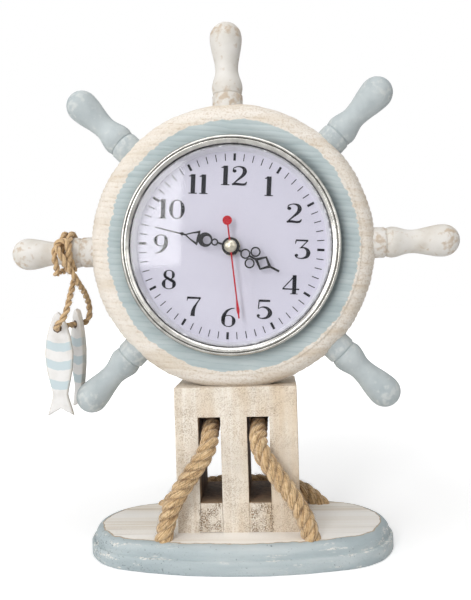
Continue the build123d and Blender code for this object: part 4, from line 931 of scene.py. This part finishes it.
# Dial: a printed card with a faint lilac cast behind a satin silver ring.
# Its ticks and figures are printed in black, a little turned to the right, as the dial was fitted.
card_tones = (0.60, 0.588, 0.675), (0.63, 0.615, 0.70)
ring_tones = (0.76, 0.76, 0.79), (0.84, 0.84, 0.86)
ink_tones, ink_shine = ((0.006, 0.006, 0.009), (0.020, 0.020, 0.028)), 0.15
dial_turn, dial_front, ink_lift, ink_film = math.radians(4.05), front_y + 0.005, 0.00006, 0.00004
tick_from, tick_to, hour_tick_half, minute_tick_half = 0.0406, 0.0440, 0.00058, 0.00021
figure_tall, figure_widen, figure_circle, figure_gap = 0.0092, 1.2, 0.0335, 0.06
figure_width = {**dict.fromkeys("235689", 0.66), "0": 0.68, "1": 0.40, "4": 0.72, "7": 0.62}


def printed(name, strips):
    """Flat print on the dial, turned with it: each strip is rows of point pairs,
    in metres right and up from the middle."""
    flat = np.concatenate([strip.reshape(-1, 2) for strip in strips])
    starts = np.cumsum([0] + [2 * len(strip) for strip in strips])
    pairs = [start + np.arange(2 * len(strip)) for start, strip in zip(starts, strips)]
    faces = np.concatenate([strip_faces(number.reshape(-1, 2)) for number in pairs])
    turned_x = flat[:, 0] * math.cos(dial_turn) + flat[:, 1] * math.sin(dial_turn)
    turned_z = flat[:, 1] * math.cos(dial_turn) - flat[:, 0] * math.sin(dial_turn)
    points = [turned_x, np.full(len(flat), dial_front - ink_lift), centre_z + turned_z]
    mesh = sewn(name, np.stack(points, -1), faces, ink, smooth=False)
    film = fitted(name, mesh, "stand").modifiers.new("film", "SOLIDIFY")
    film.thickness = ink_film


def stroke(*marks):
    """A brush stroke through (across, up, width) marks, as pairs of edge points.
    Between marks it follows the smooth cubic whose slope at a mark joins its two neighbours."""
    marks = np.array(marks, float)
    if len(marks) > 2:
        share = np.linspace(0, len(marks) - 1, 12 * (len(marks) - 1) + 1)
        low = np.minimum(share.astype(int), len(marks) - 2)
        part = (share - low)[:, None]
        padded = np.concatenate([[2 * marks[0] - marks[1]], marks, [2 * marks[-1] - marks[-2]]])
        a, b, c, d = (padded[low + k] for k in range(4))
        bend = c - a + part * (2 * a - 5 * b + 4 * c - d + part * (3 * (b - c) + d - a))
        marks = b + 0.5 * part * bend
    along = unit(np.gradient(marks[:, :2], axis=0))
    to_edge = np.stack([-along[:, 1], along[:, 0]], -1) * marks[:, 2:] / 2
    return np.stack([marks[:, :2] - to_edge, marks[:, :2] + to_edge], 1)


def bowl(across, up, wide, tall, heavy, fine):
    """An oval stroke whose sides are heavy and whose top and bottom are fine."""
    angle = np.radians(np.linspace(0, 360, 40))
    weight = fine + (heavy - fine) * np.abs(np.cos(angle)) ** 1.6
    outer_edge = [across + wide * np.cos(angle), up + tall * np.sin(angle)]
    inner_edge = [across + (wide - weight) * np.cos(angle), up + (tall - fine) * np.sin(angle)]
    return np.stack([np.stack(outer_edge, -1), np.stack(inner_edge, -1)], 1)


def ball(across, up, size):
    """A round end to a stroke."""
    angle = np.radians(np.linspace(0, 180, 14))
    middle, tall = across + size * np.cos(angle), size * np.sin(angle)
    return np.stack([np.stack([middle, up + tall], -1), np.stack([middle, up - tall], -1)], 1)


# Each figure is drawn one unit high, from the foot of its left side.
two_back = [(0.05, 0.75, 0.03), (0.10, 0.90, 0.05), (0.30, 0.97, 0.06), (0.50, 0.90, 0.13)]
two_back += [(0.56, 0.72, 0.18), (0.48, 0.52, 0.14), (0.26, 0.28, 0.08), (0.06, 0.06, 0.06)]
two_foot = [(0.03, 0.05, 0.09), (0.20, 0.08, 0.13), (0.42, 0.06, 0.12), (0.58, 0.08, 0.11)]
two_foot += [(0.66, 0.20, 0.04)]
three_belly = [(0.22, 0.56, 0.04), (0.40, 0.58, 0.07), (0.55, 0.48, 0.14), (0.60, 0.30, 0.18)]
three_belly += [(0.52, 0.11, 0.13), (0.30, 0.03, 0.06), (0.10, 0.08, 0.05), (0.05, 0.18, 0.04)]
five_belly = [(0.09, 0.52, 0.03), (0.24, 0.61, 0.06), (0.44, 0.58, 0.12), (0.58, 0.42, 0.17)]
five_belly += [(0.58, 0.24, 0.18), (0.46, 0.08, 0.12), (0.26, 0.03, 0.06), (0.10, 0.08, 0.05)]
five_belly += [(0.04, 0.18, 0.04)]
six_back = [(0.11, 0.30, 0.17), (0.13, 0.56, 0.16), (0.26, 0.82, 0.11), (0.44, 0.95, 0.06)]
six_back += [(0.58, 0.98, 0.04)]
nine_back = [(0.55, 0.70, 0.17), (0.53, 0.44, 0.16), (0.40, 0.18, 0.11), (0.22, 0.05, 0.06)]
nine_back += [(0.08, 0.02, 0.04)]
figures = {
    "0": [bowl(0.34, 0.5, 0.34, 0.5, 0.17, 0.05)],
    "1": [
        stroke((0.20, 0.0, 0.19), (0.20, 1.0, 0.19)),
        stroke((0.02, 0.025, 0.05), (0.38, 0.025, 0.05)),
        stroke((0.01, 0.90, 0.03), (0.08, 0.91, 0.07), (0.16, 0.98, 0.06)),
    ],
    "2": [ball(0.12, 0.74, 0.085), stroke(*two_back), stroke(*two_foot)],
    "3": [
        stroke((0.04, 0.76, 0.03), (0.06, 0.92, 0.06)),
        stroke((0.05, 0.95, 0.09), (0.58, 0.95, 0.09)),
        stroke((0.57, 0.95, 0.05), (0.28, 0.58, 0.05)),
        stroke(*three_belly),
        ball(0.10, 0.18, 0.075),
    ],
    "4": [
        stroke((0.52, 0.97, 0.05), (0.02, 0.28, 0.05)),
        stroke((0.0, 0.26, 0.07), (0.72, 0.26, 0.07)),
        stroke((0.50, 0.0, 0.17), (0.50, 0.98, 0.17)),
        stroke((0.34, 0.02, 0.04), (0.66, 0.02, 0.04)),
    ],
    "5": [
        stroke((0.12, 0.94, 0.12), (0.58, 0.94, 0.11)),
        stroke((0.11, 0.98, 0.045), (0.09, 0.52, 0.045)),
        stroke(*five_belly),
        ball(0.10, 0.17, 0.07),
    ],
    "6": [bowl(0.34, 0.31, 0.31, 0.31, 0.16, 0.045), stroke(*six_back)],
    "7": [
        stroke((0.03, 0.94, 0.12), (0.60, 0.94, 0.10)),
        stroke((0.04, 0.98, 0.04), (0.02, 0.78, 0.03)),
        stroke((0.60, 0.95, 0.05), (0.42, 0.62, 0.08), (0.31, 0.32, 0.15), (0.28, 0.0, 0.19)),
    ],
    "8": [
        bowl(0.33, 0.75, 0.25, 0.25, 0.13, 0.045),
        bowl(0.33, 0.28, 0.31, 0.28, 0.16, 0.045),
        stroke((0.12, 0.70, 0.08), (0.30, 0.55, 0.13), (0.52, 0.38, 0.10)),
    ],
    "9": [bowl(0.32, 0.69, 0.31, 0.31, 0.16, 0.045), stroke(*nine_back)],
}
numerals = []
for hour in range(1, 13):
    hour_angle, digits = math.radians(30 * hour), str(hour)
    place = figure_circle * np.array([math.sin(hour_angle), math.cos(hour_angle)])
    pen = -sum(figure_width[digit] for digit in digits) / 2 - figure_gap / 2 * (len(digits) - 1)
    for digit in digits:
        size = np.array([figure_tall * figure_widen, figure_tall])
        numerals += [(strip + np.array([pen, -0.5])) * size + place for strip in figures[digit]]
        pen += figure_width[digit] + figure_gap
minute = np.arange(60)
outward = np.stack([np.sin(np.radians(6 * minute)), np.cos(np.radians(6 * minute))], -1)
to_edge = np.where(minute % 5 == 0, hour_tick_half, minute_tick_half)[:, None]
to_edge = to_edge * np.stack([outward[:, 1], -outward[:, 0]], -1)
tick_ends = [outward * tick_from, outward * tick_to]
ticks = np.stack([np.stack([end - to_edge, end + to_edge], 1) for end in tick_ends], 1)

dial_card = material("dial_card", 0.42)
two_tone(dial_card, 1500, card_tones, detail=2.0)
dress(dial_card, "dial_plate")
silver = material("satin_silver", 0.4, 0.3)
two_tone(silver, 500, ring_tones, (1, 8, 1))
dress(silver, "dial_ring")
ink = material("dial_ink", 0.5)
shader(ink)["Specular IOR Level"].default_value = ink_shine
two_tone(ink, 2500, ink_tones, detail=2.0, high=0.75)
printed("dial_ticks", list(ticks))
printed("dial_figures", numerals)

# Hands and their fixings: stamped brass in black, red and plain finishes on nested pipes.
# The nut clamps the dial, the black hands press on their pipes,
# and a domed cap covers the red hand.
black_tones = (0.008, 0.008, 0.009), (0.022, 0.022, 0.024)
red_tones = (0.40, 0.008, 0.016), (0.50, 0.013, 0.024)
brass_tones, lacquer_shine = ((0.50, 0.46, 0.36), (0.66, 0.62, 0.50)), 0.2
black, red = material("hand_black", 0.38), material("hand_red", 0.35)
for lacquer, tones in ((black, black_tones), (red, red_tones)):
    shader(lacquer)["Specular IOR Level"].default_value = lacquer_shine
    two_tone(lacquer, 1200, tones)
brass = material("plain_brass", 0.3, 1.0)
two_tone(brass, 800, brass_tones, detail=4.0)
dress(black, "hour_hand", "minute_hand", "fixing_nut")
dress(red, "second_hand")
dress(brass, "bushing", "fixing_washer", "second_hand_cap")

# Bezel: a spun ring of plated metal, with a rounded crown outside and a flatter ring inside,
# and a fine groove between them, coloured nearly black as painted shade and painted dark reflection.
plate_tones = (0.25, (0.36, 0.35, 0.325)), (0.6, (0.56, 0.55, 0.52))
groove_painted_shade = (0.05, 0.045, 0.04)
crown_middle, crown_wide, crown_foot, crown_tall = 0.04995, 0.00155, -0.0012, 0.0032
ring_groove, groove_half, ring_seat = 0.0495, 0.00028, 0.0507
crown = np.linspace(0, math.pi / 2, 14)
crown = [crown_middle + crown_wide * np.cos(crown), crown_foot - crown_tall * np.sin(crown)]
ring = np.concatenate(
    [
        [(ring_seat, 0.0), (0.0512, 0.0), (0.0515, -0.0002), (0.0515, crown_foot)],
        np.stack(crown, -1),
        [(0.04985, -0.0043), (0.04965, -0.0040), (ring_groove, -0.00395), (0.0493, -0.0040)],
        [(0.0491, -0.0043), (0.0489, -0.0044), (0.0484, -0.0043), (0.0479, -0.0040)],
        [(0.0475, -0.0037), (0.0471, -0.0034), (0.0471, -0.0029), (ring_seat, -0.0029)],
        [(ring_seat, 0.0)],
    ]
)
radius, depth = ring[:, :1], ring[:, 1:]
ring_turn = np.linspace(0, 2 * math.pi, 360, endpoint=False)
wobble = 1 + 0.0008 * waves(ring_turn, 0.5, 0.9)
groove_shade_mask = np.exp(-(((radius - ring_groove) / groove_half) ** 2)) * (depth < -0.0035)
chrome = material("bezel_chrome", 0.2, 1.0)
age = noise(chrome, 260, detail=6.0)
# Painted shade and painted dark reflection: the groove is coloured nearly black.
groove_shading = ramp(chrome, attribute(chrome, "groove"), (0.2, 0), (0.9, 0.95))
coat(chrome, mix(chrome, groove_shading, ramp(chrome, age, *plate_tones), groove_painted_shade))
bumped(chrome, age, 0.0002, 0.4)
ring_grid = turned(radius * wobble, depth, ring_turn)
surface("bezel_ring", ring_grid, chrome, "bezel", values={"groove": groove_shade_mask})

# Lens: a clear domed disc held at its edge by the bezel.
# It is thin glass: light passes straight through, and its outer face reflects the room.
glass_tint, glass_ior, glass_roughness = (0.985, 0.985, 0.99, 1), 1.38, 0.07
lens_rise, dome_radius, lens_edge = 0.0026, 0.0462, [0.0475, 0.0489]
lens_front, lens_back = -0.0027, -0.0012
sphere = (dome_radius**2 + lens_rise**2) / (2 * lens_rise)
radius = np.concatenate([np.linspace(0, dome_radius, 40), lens_edge])
dome = lens_rise - sphere + np.sqrt(sphere**2 - np.minimum(radius, dome_radius) ** 2)
dome = np.where(radius < dome_radius, dome, 0.0)
depth = np.concatenate([lens_front - dome, (lens_back - dome)[::-1]])[:, None]
radius = np.concatenate([radius, radius[::-1]])[:, None]
glass = bpy.data.materials.new("lens_clear")
glass.use_nodes = True
glass.node_tree.nodes.remove(glass.node_tree.nodes["Principled BSDF"])
clear = node(glass, "BsdfTransparent", {"Color": glass_tint}).outputs[0]
gloss = node(glass, "BsdfGlossy", {"Roughness": glass_roughness}).outputs[0]
mirrored = node(glass, "Fresnel", {"IOR": glass_ior}).outputs[0]
outer_face = maths(glass, "SUBTRACT", 1.0, node(glass, "NewGeometry", {}).outputs["Backfacing"])
pane = node(glass, "MixShader", {0: times(glass, mirrored, outer_face), 1: clear, 2: gloss})
glass_output = glass.node_tree.nodes["Material Output"].inputs["Surface"]
glass.node_tree.links.new(pane.outputs[0], glass_output)
surface("lens_dome", turned(radius, depth, ring_turn), glass, "lens")
